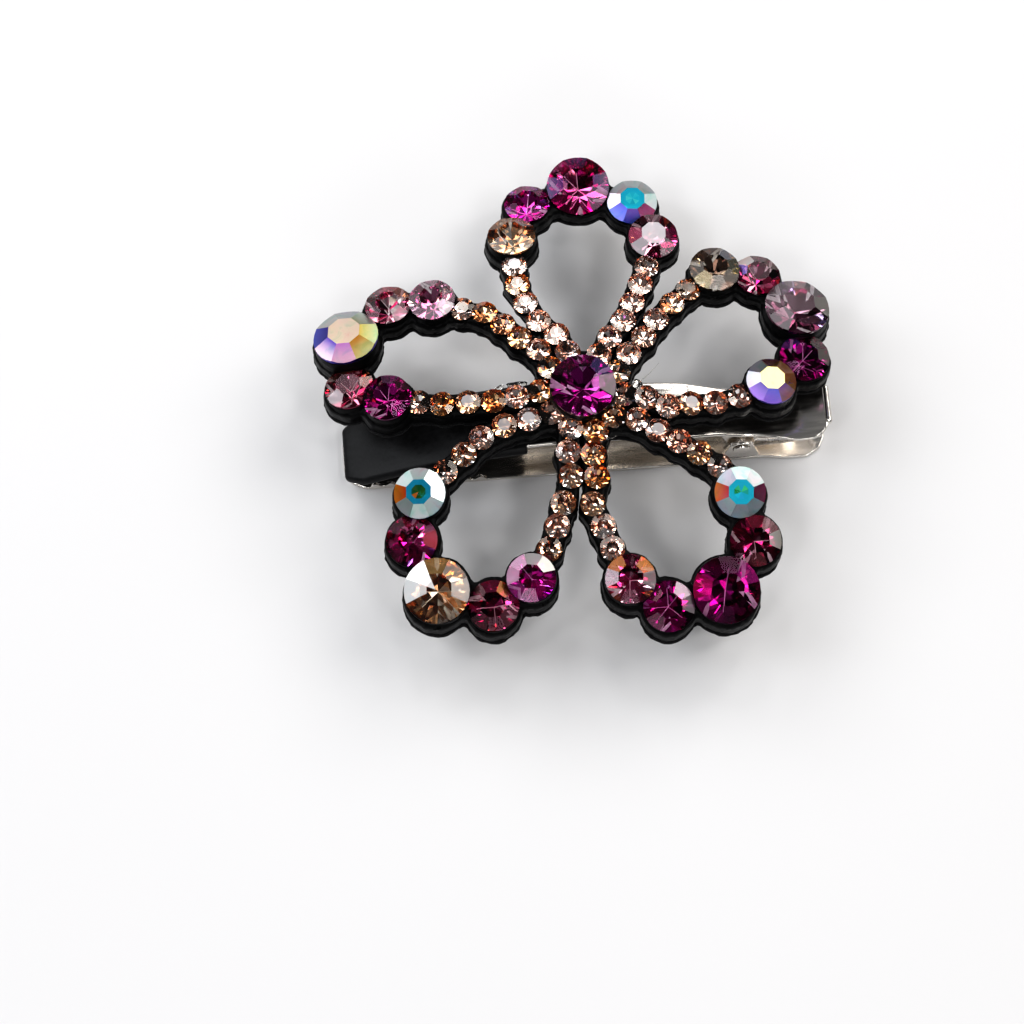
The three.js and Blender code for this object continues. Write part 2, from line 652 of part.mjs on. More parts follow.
const alongY = (g) => g.rotateX(Math.PI / 2);
const pinProfile = [
  [0, -4.25],
  [1.0, -4.25],
  [1.15, -4.1],
  [1.15, -3.95],
  [PIN_R, -3.95],
  [PIN_R, 3.95],
  [1.15, 3.95],
  [1.15, 4.1],
  [1.0, 4.25],
  [0, 4.25],
].map(([x, y]) => new THREE.Vector2(x, y));
const pinGeometry = new THREE.LatheGeometry(pinProfile, 12);
pinGeometry.translate(HINGE_X, CLIP_Y, HINGE_Z);

// torsion spring: lower leg, coil round the pin, upper leg
class SpringCurve extends THREE.Curve {
  getPoint(t, target = new THREE.Vector3()) {
    const lower = new THREE.Vector3(27.2, CLIP_Y - COIL_HALF, PLATE_T + WIRE_R + 0.12),
      upper = new THREE.Vector3(27.2, CLIP_Y + COIL_HALF, 6.45 - STRIP_T / 2 - WIRE_R - 0.16),
      coilStart = new THREE.Vector3(HINGE_X, CLIP_Y - COIL_HALF, HINGE_Z - COIL_R),
      coilEnd = new THREE.Vector3(HINGE_X, CLIP_Y + COIL_HALF, HINGE_Z + COIL_R);
    if (t < 0.06) return target.copy(lower).lerp(coilStart, t / 0.06);
    if (t > 0.94) return target.copy(coilEnd).lerp(upper, (t - 0.94) / 0.06);
    const s = (t - 0.06) / 0.88,
      a = -Math.PI / 2 - s * 2 * Math.PI * COIL_TURNS;
    return target.set(HINGE_X + COIL_R * Math.cos(a), CLIP_Y - COIL_HALF + 2 * COIL_HALF * s, HINGE_Z + COIL_R * Math.sin(a));
  }
}
function springSolid() {
  const curve = new SpringCurve(),
    pts = [],
    STEPS = 8;
  const coil = Math.round(COIL_TURNS * STEPS);
  pts.push(curve.getPoint(0));
  for (let i = 0; i <= coil; i++) pts.push(curve.getPoint(0.06 + (0.88 * i) / coil));
  pts.push(curve.getPoint(1));
  // the section is carried along the path, its sides kept square to Y
  const rings = pts.map((p, i) => {
    const a = pts[Math.max(0, i - 1)],
      b = pts[Math.min(pts.length - 1, i + 1)],
      t = b.clone().sub(a).normalize(),
      y = new THREE.Vector3(0, 1, 0).addScaledVector(t, -t.y).normalize(),
      n = new THREE.Vector3().crossVectors(t, y);
    return Array.from({ length: 5 }, (_, k) => {
      const g = (k * 2 * Math.PI) / 5;
      return p
        .clone()
        .addScaledVector(n, WIRE_R * Math.cos(g))
        .addScaledVector(y, -WIRE_R * Math.sin(g))
        .toArray();
    });
  });
  return loft(rings);
}

// rubber sleeve over the front part of the upper jaw
const sleeveXs = stations(UPPER_TIP - 0.7, SLEEVE_END, 4.6);
const sleeveOuter = sweep(
  sleeveXs.map((x) => [x, arch(x)]),
  stadium(UPPER_HALF + 0.38, SLEEVE_R, 4),
  CLIP_Y,
);
const hollowXs = stations(UPPER_TIP - 0.12, SLEEVE_END + 2, 4.8);
const sleeveHollow = sweep(
  hollowXs.map((x) => [x, arch(x)]),
  stadium(UPPER_HALF + 0.13, BEAD_R + 0.13, 3),
  CLIP_Y,
);
const sleeve = sleeveOuter.subtract(sleeveHollow);

const mountingDisc = bar(DISC_R, DISC_R, DISC_Z[0], DISC_Z[1], 24);
const gluePad = bar(PAD_R, PAD_R, PAD_Z[0], PAD_Z[1], 20);

// ---------- colours ----------
const M = (color, roughness, metalness, extra = {}) => new THREE.MeshStandardMaterial({ color, roughness, metalness, flatShading: true, ...extra });
const black = () => M(0x0c0b0d, 0.5, 0.0);
const GEM = {
  fuchsia: 0x8a0f4e,
  dark: 0x5c0a3c,
  rose: 0xb0405f,
  light: 0xd79ba6,
  peach: 0xe3b38c,
  ab: 0xbfe3e6,
  topaz: 0x8d7a66,
};
const STONE_COLOUR = {
  stone_centre: "fuchsia",
  stone_top_1: "peach",
  stone_top_2: "fuchsia",
  stone_top_3: "fuchsia",
  stone_top_4: "ab",
  stone_top_5: "light",
  stone_right_1: "topaz",
  stone_right_2: "rose",
  stone_right_3: "light",
  stone_right_4: "dark",
  stone_right_5: "ab",
  stone_left_1: "light",
  stone_left_2: "rose",
  stone_left_3: "ab",
  stone_left_4: "light",
  stone_left_5: "dark",
  stone_lower_left_1: "ab",
  stone_lower_left_2: "rose",
  stone_lower_left_3: "peach",
  stone_lower_left_4: "rose",
  stone_lower_left_5: "fuchsia",
  stone_lower_right_1: "ab",
  stone_lower_right_2: "rose",
  stone_lower_right_3: "dark",
  stone_lower_right_4: "rose",
  stone_lower_right_5: "rose",
};

// ---------- assembly ----------
const named = (name, geometry, material) => {
  const m = new THREE.Mesh(geometry, material);
  m.name = name;
  return m;
};
const hairClip = new THREE.Group();
hairClip.name = "hair_clip";
hairClip.position.set(-ORIGIN_X, -ORIGIN_Y, 0);

const clip = new THREE.Group();
const steel = () => M(0xc9c4bd, 0.16, 1.0);
clip.add(
  named("lower_jaw", geometryOf(lower), steel()),
  named("upper_jaw", geometryOf(upper), steel()),
  named("hinge_pin", pinGeometry, steel()),
  named("torsion_spring", geometryOf(springSolid()), M(0x9d9a96, 0.3, 1.0)),
  named("rubber_sleeve", geometryOf(sleeve), M(0x111113, 0.45, 0.0)),
  named("mounting_disc", mountingDisc, steel()),
  named("glue_pad", gluePad, M(0xd9d3c8, 0.35, 0.0)),
);
hairClip.add(clip);

const flower = new THREE.Group();
flower.rotation.z = THREE.MathUtils.degToRad(FLOWER_TURN);
flower.add(named("hub", geometryOf(hub), black()));
for (const [name, s] of petalSolid) flower.add(named(name, geometryOf(s), black()));
for (const [name, s] of feltSolid) flower.add(named(name, geometryOf(s), M(0x141315, 0.95, 0.0)));
for (const [name, s] of bigSolid) flower.add(named(name, geometryOf(s), M(GEM[STONE_COLOUR[name]], 0.05, 0.2)));
for (const [name, s] of rowSolid) flower.add(named(name, geometryOf(s), M(GEM.peach, 0.08, 0.2)));
hairClip.add(flower);

export default hairClip;
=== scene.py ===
import math

import bpy
import bmesh
import numpy as np
from mathutils import Matrix, Quaternion, Vector


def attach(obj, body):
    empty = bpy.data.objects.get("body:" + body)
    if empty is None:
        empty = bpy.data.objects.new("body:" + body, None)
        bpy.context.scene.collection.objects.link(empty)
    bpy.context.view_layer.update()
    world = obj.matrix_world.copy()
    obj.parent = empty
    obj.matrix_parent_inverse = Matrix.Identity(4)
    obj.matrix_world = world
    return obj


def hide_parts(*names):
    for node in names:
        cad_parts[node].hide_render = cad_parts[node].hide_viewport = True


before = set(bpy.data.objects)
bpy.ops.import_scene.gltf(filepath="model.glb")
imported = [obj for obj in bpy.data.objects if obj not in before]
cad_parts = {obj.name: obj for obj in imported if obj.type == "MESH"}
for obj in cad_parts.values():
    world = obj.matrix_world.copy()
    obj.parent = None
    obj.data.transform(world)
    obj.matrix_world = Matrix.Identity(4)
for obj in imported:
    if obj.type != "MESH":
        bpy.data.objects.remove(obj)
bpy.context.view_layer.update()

MM = 0.001
scene = bpy.context.scene

# ------------------------------------------------------------------ dimensions (mm, the flower's own frame)
TURN = math.radians(-4.5)
SHIFT = (0.465, -1.655)
BASE_TOP, BEND_X, BEND_Y = 14.4, 0.0033, 0.0056
SETTING_THICK, FELT_GAP, FELT_THICK = 2.4, 0.12, 0.7
ARM_HALF, ARM_WEB, RIM_MEDIUM, RIM_LARGE = 1.74, 1.62, 0.34, 0.26
HUB_R, HUB_TOP, HUB_BOTTOM = 5.6, 14.3, 11.85
SMALL_D, SMALL_RAISE = 3.05, 0.3
PAV = {"L": 0.36, "M": 0.38, "S": 0.36}

BIG = [
  ["stone_centre", -0.00, -0.00, 16.15, 0.000, 0.000, 8.15],
  ["stone_top_1", -8.83, 21.95, 12.40, -0.058, 0.274, 6.10],
  ["stone_top_2", -6.85, 27.40, 10.34, -0.047, 0.247, 5.90],
  ["stone_top_3", -0.30, 29.95, 10.33, -0.016, -0.037, 8.00],
  ["stone_top_4", 6.61, 27.72, 10.25, 0.019, 0.087, 6.40],
  ["stone_top_5", 9.13, 21.96, 12.38, 0.031, 0.051, 6.23],
  ["stone_right_1", 16.80, 17.15, 12.87, 0.072, 0.141, 6.35],
  ["stone_right_2", 22.26, 16.96, 11.45, 0.101, 0.193, 5.90],
  ["stone_right_3", 27.11, 12.19, 12.14, 0.127, 0.223, 8.19],
  ["stone_right_4", 27.84, 5.48, 11.97, 0.122, 0.015, 6.37],
  ["stone_right_5", 23.45, 1.55, 13.67, 0.104, 0.097, 6.29],
  ["stone_left_1", -18.83, 12.74, 13.27, -0.108, 0.167, 5.90],
  ["stone_left_2", -24.38, 12.61, 11.85, -0.139, 0.242, 5.90],
  ["stone_left_3", -29.58, 8.05, 12.15, -0.166, 0.282, 8.30],
  ["stone_left_4", -29.05, 1.44, 11.80, -0.161, 0.214, 6.23],
  ["stone_left_5", -24.27, -0.59, 13.60, -0.135, 0.071, 6.16],
  ["stone_lower_left_1", -20.11, -13.05, 13.11, -0.111, -0.150, 6.40],
  ["stone_lower_left_2", -21.06, -18.62, 11.34, -0.115, -0.154, 6.40],
  ["stone_lower_left_3", -17.95, -24.91, 10.81, -0.100, -0.222, 8.14],
  ["stone_lower_left_4", -11.03, -26.68, 10.31, -0.068, -0.160, 6.38],
  ["stone_lower_left_5", -6.39, -23.66, 12.08, -0.046, -0.161, 6.11],
  ["stone_lower_right_1", 19.27, -12.92, 13.19, 0.076, -0.291, 6.40],
  ["stone_lower_right_2", 21.18, -18.58, 11.34, 0.084, -0.264, 6.40],
  ["stone_lower_right_3", 17.49, -24.81, 10.89, 0.066, -0.304, 8.30],
  ["stone_lower_right_4", 10.44, -26.73, 10.34, 0.033, -0.259, 6.38],
  ["stone_lower_right_5", 5.71, -23.81, 12.07, 0.012, -0.163, 6.24],
]
ROWS = [
  ["stones_top_left_arm", "top_a", [[-8.45, 17.78], [-8.08, 14.92], [-7.07, 12.24], [-5.47, 9.56], [-3.23, 7.73], [-1.82, 5.21]]],
  ["stones_top_right_arm", "top_b", [[8.23, 17.65], [7.37, 14.94], [6.32, 12.28], [5.14, 9.65], [3.43, 7.34], [2.07, 4.79]]],
  ["stones_left_upper_arm", "left_a", [[-15.01, 11.59], [-12.21, 10.93], [-9.91, 9.21], [-7.84, 7.21], [-5.47, 5.57], [-4.07, 3.05]]],
  ["stones_left_lower_arm", "left_b", [[-20.35, -1.06], [-17.45, -1.47], [-14.22, -1.34], [-11.06, -1.31], [-8.21, -0.79], [-5.30, -0.11]]],
  ["stones_right_upper_arm", "right_a", [[13.40, 14.36], [11.32, 12.22], [9.26, 9.92], [7.65, 7.33], [5.78, 5.07], [4.41, 2.52]]],
  ["stones_right_lower_arm", "right_b", [[19.50, -0.24], [16.47, -1.31], [13.43, -1.50], [10.59, -2.01], [7.93, -0.88], [5.05, -0.52]]],
  ["stones_lower_left_outer_arm", "lowleft_a", [[-17.01, -10.22], [-14.69, -8.15], [-12.54, -6.04], [-9.70, -4.57], [-6.68, -3.79], [-3.90, -2.96]]],
  ["stones_lower_left_inner_arm", "lowleft_b", [[-4.18, -20.02], [-3.19, -17.30], [-2.45, -14.43], [-1.47, -11.13], [-1.84, -8.02], [-1.52, -4.97]]],
  ["stones_lower_right_outer_arm", "lowright_a", [[16.83, -9.45], [14.33, -7.93], [11.84, -6.48], [9.25, -5.20], [6.75, -3.77], [3.87, -3.40]]],
  ["stones_lower_right_inner_arm", "lowright_b", [[3.55, -19.91], [2.44, -17.29], [1.17, -14.55], [1.65, -11.20], [1.26, -8.35], [1.55, -5.48]]],
]
LARGE = {"stone_centre", "stone_top_3", "stone_right_3", "stone_left_3", "stone_lower_left_3", "stone_lower_right_3"}
PETALS = {"top": ("top_a", "top_b"), "right": ("right_a", "right_b"), "left": ("left_a", "left_b"),
          "lower_left": ("lowleft_a", "lowleft_b"), "lower_right": ("lowright_a", "lowright_b")}


def surf(x, y):
    return BASE_TOP - BEND_X * x * x - BEND_Y * y * y


def surf_normal(x, y):
    return Vector((2 * BEND_X * x, 2 * BEND_Y * y, 1)).normalized()


CT, ST = math.cos(TURN), math.sin(TURN)


def to_row(v):
    """Flower frame in mm -> row frame in metres, for an (n, 3) array."""
    v = np.asarray(v, float).reshape(-1, 3)
    out = np.empty_like(v)
    out[:, 0] = (v[:, 0] * CT - v[:, 1] * ST + SHIFT[0]) * MM
    out[:, 1] = (v[:, 0] * ST + v[:, 1] * CT + SHIFT[1]) * MM
    out[:, 2] = v[:, 2] * MM
    return out


def clip_row(v):
    """Clip frame in mm -> row frame in metres."""
    v = np.asarray(v, float).reshape(-1, 3)
    return (v + np.array([SHIFT[0], SHIFT[1], 0.0])) * MM


def wobble(x, y, scale, seed):
    """Smooth repeatable noise in -1..1 from sines."""
    r = np.random.RandomState(seed)
    out = 0.0
    for i in range(6):
        a = r.uniform(0, 2 * math.pi)
        f = scale * r.uniform(0.6, 1.6)
        out = out + np.sin(x * f * math.cos(a) + y * f * math.sin(a) + r.uniform(0, 6.28))
    return out / 3.2


# ------------------------------------------------------------------ camera
EL, DIST, SCALE = math.radians(70.0), 400.0, 0.1235
fwd = Vector((0, math.cos(EL), -math.sin(EL)))
up = Vector((0, math.sin(EL), math.cos(EL)))
target = Vector((0, 0, 16.15)) - Vector((1, 0, 0)) * (71 * SCALE) + up * (-126 * SCALE)
eye = target - fwd * DIST
turn = Matrix.Rotation(TURN, 3, "Z")
cam_data = bpy.data.cameras.new("camera")
cam = bpy.data.objects.new("camera", cam_data)
scene.collection.objects.link(cam)
cam_data.sensor_width = 36
cam_data.sensor_fit = "HORIZONTAL"
cam_data.lens = 36 * DIST / (1024 * SCALE)
cam_data.clip_start = 0.01
eye_row = turn @ eye + Vector((SHIFT[0], SHIFT[1], 0))
cam.location = eye_row * MM
cols = [turn @ Vector((1, 0, 0)), turn @ up, turn @ (-fwd)]
cam.rotation_euler = Matrix(((cols[0].x, cols[1].x, cols[2].x), (cols[0].y, cols[1].y, cols[2].y), (cols[0].z, cols[1].z, cols[2].z))).to_euler()
scene.camera = cam


# ------------------------------------------------------------------ materials
def node_material(name):
    m = bpy.data.materials.new(name)
    m.use_nodes = True
    nt = m.node_tree
    for n in list(nt.nodes):
        nt.nodes.remove(n)
    out = nt.nodes.new("ShaderNodeOutputMaterial")
    return m, nt, out


def principled(nt, **kw):
    n = nt.nodes.new("ShaderNodeBsdfPrincipled")
    for k, v in kw.items():
        n.inputs[k].default_value = v
    return n


def noise_node(nt, scale, detail=3.0, rough=0.5, coord="Object", distortion=0.0):
    tc = nt.nodes.new("ShaderNodeTexCoord")
    n = nt.nodes.new("ShaderNodeTexNoise")
    n.inputs["Scale"].default_value = scale
    n.inputs["Detail"].default_value = detail
    n.inputs["Roughness"].default_value = rough
    n.inputs["Distortion"].default_value = distortion
    nt.links.new(tc.outputs[coord], n.inputs["Vector"])
    return n


def ramp(nt, source, stops):
    r = nt.nodes.new("ShaderNodeValToRGB")
    e = r.color_ramp.elements
    while len(e) < len(stops):
        e.new(0.5)
    for i, (p, c) in enumerate(stops):
        e[i].position = p
        e[i].color = (*c, 1)
    nt.links.new(source, r.inputs["Fac"])
    return r


def mix_rgb(nt, a, b, fac=None, blend="MIX", value=0.5):
    n = nt.nodes.new("ShaderNodeMix")
    n.data_type = "RGBA"
    n.blend_type = blend
    n.inputs[0].default_value = value
    if fac is not None:
        nt.links.new(fac, n.inputs[0])
    for s, i in ((a, 6), (b, 7)):
        if isinstance(s, tuple):
            n.inputs[i].default_value = (*s, 1)
        else:
            nt.links.new(s, n.inputs[i])
    return n.outputs[2]


def bump(nt, source, strength, distance):
    b = nt.nodes.new("ShaderNodeBump")
    b.inputs["Strength"].default_value = strength
    b.inputs["Distance"].default_value = distance
    nt.links.new(source, b.inputs["Height"])
    return b.outputs["Normal"]


def map_range(nt, source, lo, hi, a=0.0, b=1.0):
    n = nt.nodes.new("ShaderNodeMapRange")
    n.inputs["From Min"].default_value = a
    n.inputs["From Max"].default_value = b
    n.inputs["To Min"].default_value = lo
    n.inputs["To Max"].default_value = hi
    nt.links.new(source, n.inputs["Value"])
    return n.outputs["Result"]


def attribute(nt, name):
    a = nt.nodes.new("ShaderNodeAttribute")
    a.attribute_type = "GEOMETRY"
    a.attribute_name = name
    return a


def gem_glass(name, tint, rainbow, film, ior=1.62):
    """Crown of a stone: clear tinted lead glass, with a coat of mirror on the facets that carry one; that coat is
    painted reflection and glare, on the aurora stones partly the coating's own colour.
    """
    m, nt, out = node_material(name)
    n = noise_node(nt, 260, 2)
    col = ramp(nt, n.outputs["Fac"], [(0.3, tuple(c * 0.93 for c in tint)), (0.7, tint)])
    g = principled(nt, **{"Roughness": 0.0, "IOR": ior, "Transmission Weight": 1.0, "Specular Tint": (*film, 1)})
    nt.links.new(col.outputs["Color"], g.inputs["Base Color"])
    coat_and_reflection = principled(nt, **{"Roughness": 0.38, "Metallic": 1.0})
    fc = attribute(nt, "facet")
    irid = noise_node(nt, 420, 3, 0.55, distortion=1.2)
    ic = ramp(nt, irid.outputs["Fac"], [(0.32, (0.62, 0.9, 0.86)), (0.48, (0.97, 0.98, 0.98)), (0.62, (0.98, 0.9, 0.95)), (0.74, (1.0, 0.68, 0.74))])
    nt.links.new(mix_rgb(nt, fc.outputs["Color"], ic.outputs["Color"], blend="MULTIPLY", value=0.8 if rainbow else 0.1), coat_and_reflection.inputs["Base Color"])
    mx = nt.nodes.new("ShaderNodeMixShader")
    at = attribute(nt, "coat_and_reflection")
    nt.links.new(at.outputs["Fac"], mx.inputs["Fac"])
    nt.links.new(g.outputs[0], mx.inputs[1])
    nt.links.new(coat_and_reflection.outputs[0], mx.inputs[2])
    nt.links.new(mx.outputs[0], out.inputs["Surface"])
    return m


def gem_foil(name, rough=0.05):
    """Foiled back of a stone: coloured mirror with the slight unevenness of moulded glass; the per-facet colour it
    reads holds painted shade and painted highlight levels.
    """
    m, nt, out = node_material(name)
    fc = attribute(nt, "facet")
    n = noise_node(nt, 700, 3, 0.6)
    dark = ramp(nt, n.outputs["Fac"], [(0.25, (0.72, 0.72, 0.72)), (0.6, (1, 1, 1))])
    b = principled(nt, **{"Metallic": 1.0, "Roughness": rough})
    nt.links.new(mix_rgb(nt, fc.outputs["Color"], dark.outputs["Color"], blend="MULTIPLY", value=1.0), b.inputs["Base Color"])
    nt.links.new(b.outputs[0], out.inputs["Surface"])
    return m


# type: (crown tint, (dark, middle, bright) foil of the inner facets, the same for the outer facets, accents of the outer facets)
LOOKS = {
    "fuchsia": ((1.0, 0.80, 0.97), [(0.16, 0.004, 0.10), (0.40, 0.010, 0.27), (0.98, 0.30, 0.80)], [(0.24, 0.006, 0.15), (0.54, 0.018, 0.36), (0.96, 0.36, 0.82)], [(0.42, 0.26, 0.95), (0.98, 0.75, 0.92)]),
    "magenta": ((1.0, 0.84, 0.96), [(0.42, 0.008, 0.24), (0.88, 0.03, 0.52), (1.0, 0.34, 0.78)], [(0.50, 0.01, 0.30), (0.94, 0.06, 0.60), (1.0, 0.55, 0.86)], [(0.55, 0.34, 1.0), (1.0, 0.85, 0.94)]),
    "ruby": ((1.0, 0.82, 0.90), [(0.30, 0.007, 0.13), (0.60, 0.018, 0.30), (1.0, 0.36, 0.66)], [(0.48, 0.012, 0.22), (0.84, 0.05, 0.42), (0.98, 0.46, 0.70)], [(0.50, 0.32, 0.98), (1.0, 0.80, 0.90)]),
    "dark": ((1.0, 0.80, 0.94), [(0.15, 0.004, 0.09), (0.31, 0.008, 0.19), (0.84, 0.12, 0.57)], [(0.34, 0.01, 0.20), (0.64, 0.025, 0.40), (0.94, 0.28, 0.68)], [(0.94, 0.20, 0.40), (0.96, 0.55, 0.82)]),
    "deeprose": ((1.0, 0.90, 0.94), [(0.24, 0.012, 0.08), (0.62, 0.06, 0.25), (1.0, 0.66, 0.78)], [(0.34, 0.018, 0.12), (0.80, 0.12, 0.34), (1.0, 0.80, 0.86)], [(0.98, 0.36, 0.16), (1.0, 0.92, 0.95)]),
    "rose": ((1.0, 0.92, 0.95), [(0.36, 0.04, 0.12), (0.74, 0.15, 0.30), (0.98, 0.52, 0.62)], [(0.50, 0.07, 0.16), (0.86, 0.26, 0.38), (0.99, 0.70, 0.76)], [(0.98, 0.44, 0.20), (1.0, 0.92, 0.94)]),
    "pink": ((1.0, 0.96, 0.98), [(0.62, 0.22, 0.38), (0.98, 0.66, 0.80), (1.0, 0.92, 0.96)], [(0.70, 0.24, 0.44), (1.0, 0.76, 0.86), (1.0, 0.97, 0.98)], [(0.70, 0.60, 1.0), (1.0, 0.62, 0.50)]),
    "light": ((1.0, 0.95, 0.97), [(0.26, 0.09, 0.16), (0.62, 0.34, 0.46), (1.0, 0.86, 0.93)], [(0.32, 0.10, 0.20), (0.74, 0.42, 0.54), (1.0, 0.93, 0.97)], [(0.76, 0.66, 1.0), (1.0, 0.62, 0.50)]),
    "peach": ((1.0, 0.985, 0.97), [(0.46, 0.23, 0.12), (0.98, 0.66, 0.42), (1.0, 0.93, 0.86)], [(0.62, 0.28, 0.12), (0.99, 0.58, 0.30), (1.0, 0.95, 0.90)], [(1.0, 0.42, 0.10), (0.80, 0.86, 1.0)]),
    "silk": ((1.0, 0.98, 0.985), [(0.62, 0.32, 0.24), (0.99, 0.73, 0.62), (1.0, 0.93, 0.91)], [(0.82, 0.38, 0.26), (1.0, 0.69, 0.54), (1.0, 0.96, 0.95)], [(1.0, 0.48, 0.20), (0.84, 0.86, 1.0)]),
    "honey": ((1.0, 0.98, 0.97), [(0.54, 0.26, 0.15), (0.98, 0.67, 0.47), (1.0, 0.93, 0.88)], [(0.70, 0.31, 0.16), (0.99, 0.60, 0.37), (1.0, 0.95, 0.92)], [(1.0, 0.38, 0.10), (0.9, 0.9, 1.0)]),
    "amber": ((1.0, 0.98, 0.96), [(0.46, 0.19, 0.06), (0.98, 0.56, 0.30), (1.0, 0.90, 0.80)], [(0.64, 0.24, 0.08), (1.0, 0.52, 0.24), (1.0, 0.93, 0.86)], [(1.0, 0.32, 0.06), (0.9, 0.9, 1.0)]),
    "coral": ((1.0, 0.94, 0.96), [(0.52, 0.06, 0.20), (0.96, 0.34, 0.48), (1.0, 0.76, 0.80)], [(0.62, 0.08, 0.24), (1.0, 0.44, 0.52), (1.0, 0.86, 0.88)], [(1.0, 0.50, 0.22), (1.0, 0.94, 0.96)]),
    "topaz": ((0.99, 0.97, 0.96), [(0.16, 0.095, 0.07), (0.38, 0.265, 0.21), (0.84, 0.72, 0.57)], [(0.18, 0.11, 0.075), (0.42, 0.30, 0.23), (0.84, 0.74, 0.58)], [(0.80, 0.30, 0.36), (0.95, 0.80, 0.25)]),
    "aurora": ((0.97, 1.0, 1.0), [(0.03, 0.55, 0.66), (0.03, 0.60, 0.86), (0.14, 0.85, 0.95)], [(0.03, 0.50, 0.88), (0.05, 0.68, 0.92), (0.25, 0.88, 0.95)], [(0.05, 0.30, 0.85), (0.10, 0.70, 0.45)]),
    "aurora_warm": ((1.0, 0.99, 0.96), [(0.98, 0.72, 0.40), (0.99, 0.88, 0.62), (1.0, 0.96, 0.88)], [(0.14, 0.10, 0.85), (0.40, 0.25, 0.95), (0.98, 0.60, 0.25)], [(0.95, 0.38, 0.08), (0.60, 0.92, 0.35)]),
}
# colour and strength of what each crown mirrors
FILM = {"fuchsia": (0.24, 0.11, 0.21), "magenta": (0.30, 0.14, 0.25), "ruby": (0.25, 0.12, 0.18), "dark": (0.18, 0.09, 0.16), "deeprose": (0.27, 0.15, 0.19), "rose": (0.34, 0.21, 0.25), "coral": (0.46, 0.32, 0.36),
        "pink": (0.55, 0.45, 0.50), "light": (0.28, 0.21, 0.24), "peach": (0.85, 0.78, 0.72), "silk": (0.85, 0.78, 0.72), "honey": (0.85, 0.76, 0.68), "amber": (0.85, 0.74, 0.64), "topaz": (0.46, 0.43, 0.40),
        "aurora": (1.0, 1.0, 1.0), "aurora_warm": (1.0, 0.96, 0.92)}
GLASS = {k: gem_glass("glass_" + k, v[0], k.startswith("aurora"), FILM[k]) for k, v in LOOKS.items()}
FOIL = {k: gem_foil("foil_" + k, 0.28 if k.startswith("aurora") else 0.05) for k in LOOKS}


def gem_edge(name, colour, rough=0.42):
    """The slightly rounded ridges between the foiled facets, which catch the light; their metal is paler than the foil,
    a painted highlight along each ridge.
    """
    m, nt, out = node_material(name)
    n = noise_node(nt, 1200, 2)
    c = ramp(nt, n.outputs["Fac"], [(0.3, tuple(x * 0.8 for x in colour)), (0.65, colour)])
    b = principled(nt, **{"Metallic": 1.0, "Roughness": rough})
    nt.links.new(c.outputs["Color"], b.inputs["Base Color"])
    nt.links.new(b.outputs[0], out.inputs["Surface"])
    return m


# ridge metals are paler than the foils: painted highlight lines along the pavilion ridges; the wider flash bevels get
# an even paler rough metal, a painted flash
RIDGE_HIGHLIGHT_TINT = {"pink": (1.0, 0.94, 0.96), "deeprose": (1.0, 0.80, 0.84), "coral": (1.0, 0.88, 0.90), "honey": (1.0, 0.92, 0.8), "amber": (1.0, 0.86, 0.7), "fuchsia": (0.98, 0.55, 0.85), "magenta": (1.0, 0.62, 0.88), "ruby": (1.0, 0.68, 0.85), "dark": (1.0, 0.50, 0.85), "rose": (1.0, 0.85, 0.86), "light": (1.0, 0.95, 0.97),
             "peach": (1.0, 0.93, 0.82), "silk": (1.0, 0.92, 0.84), "topaz": (0.97, 0.9, 0.8), "aurora": (0.75, 0.97, 1.0), "aurora_warm": (1.0, 0.97, 0.85)}
RIDGE = {k: gem_edge("ridge_" + k, v) for k, v in RIDGE_HIGHLIGHT_TINT.items()}
PAINTED_FLASH = {k: gem_edge("painted_flash_" + k, tuple(0.6 + 0.4 * c for c in v), 0.75) for k, v in RIDGE_HIGHLIGHT_TINT.items()}
KIND = {"stone_centre": "fuchsia", "stone_top_1": "peach", "stone_top_2": "magenta", "stone_top_3": "ruby", "stone_top_4": "aurora", "stone_top_5": "deeprose",
        "stone_right_1": "topaz", "stone_right_2": "deeprose", "stone_right_3": "light", "stone_right_4": "dark", "stone_right_5": "aurora_warm",
        "stone_left_1": "pink", "stone_left_2": "coral", "stone_left_3": "aurora_warm", "stone_left_4": "rose", "stone_left_5": "dark",
        "stone_lower_left_1": "aurora", "stone_lower_left_2": "ruby", "stone_lower_left_3": "peach", "stone_lower_left_4": "deeprose", "stone_lower_left_5": "magenta",
        "stone_lower_right_1": "aurora", "stone_lower_right_2": "deeprose", "stone_lower_right_3": "dark", "stone_lower_right_4": "magenta", "stone_lower_right_5": "deeprose"}
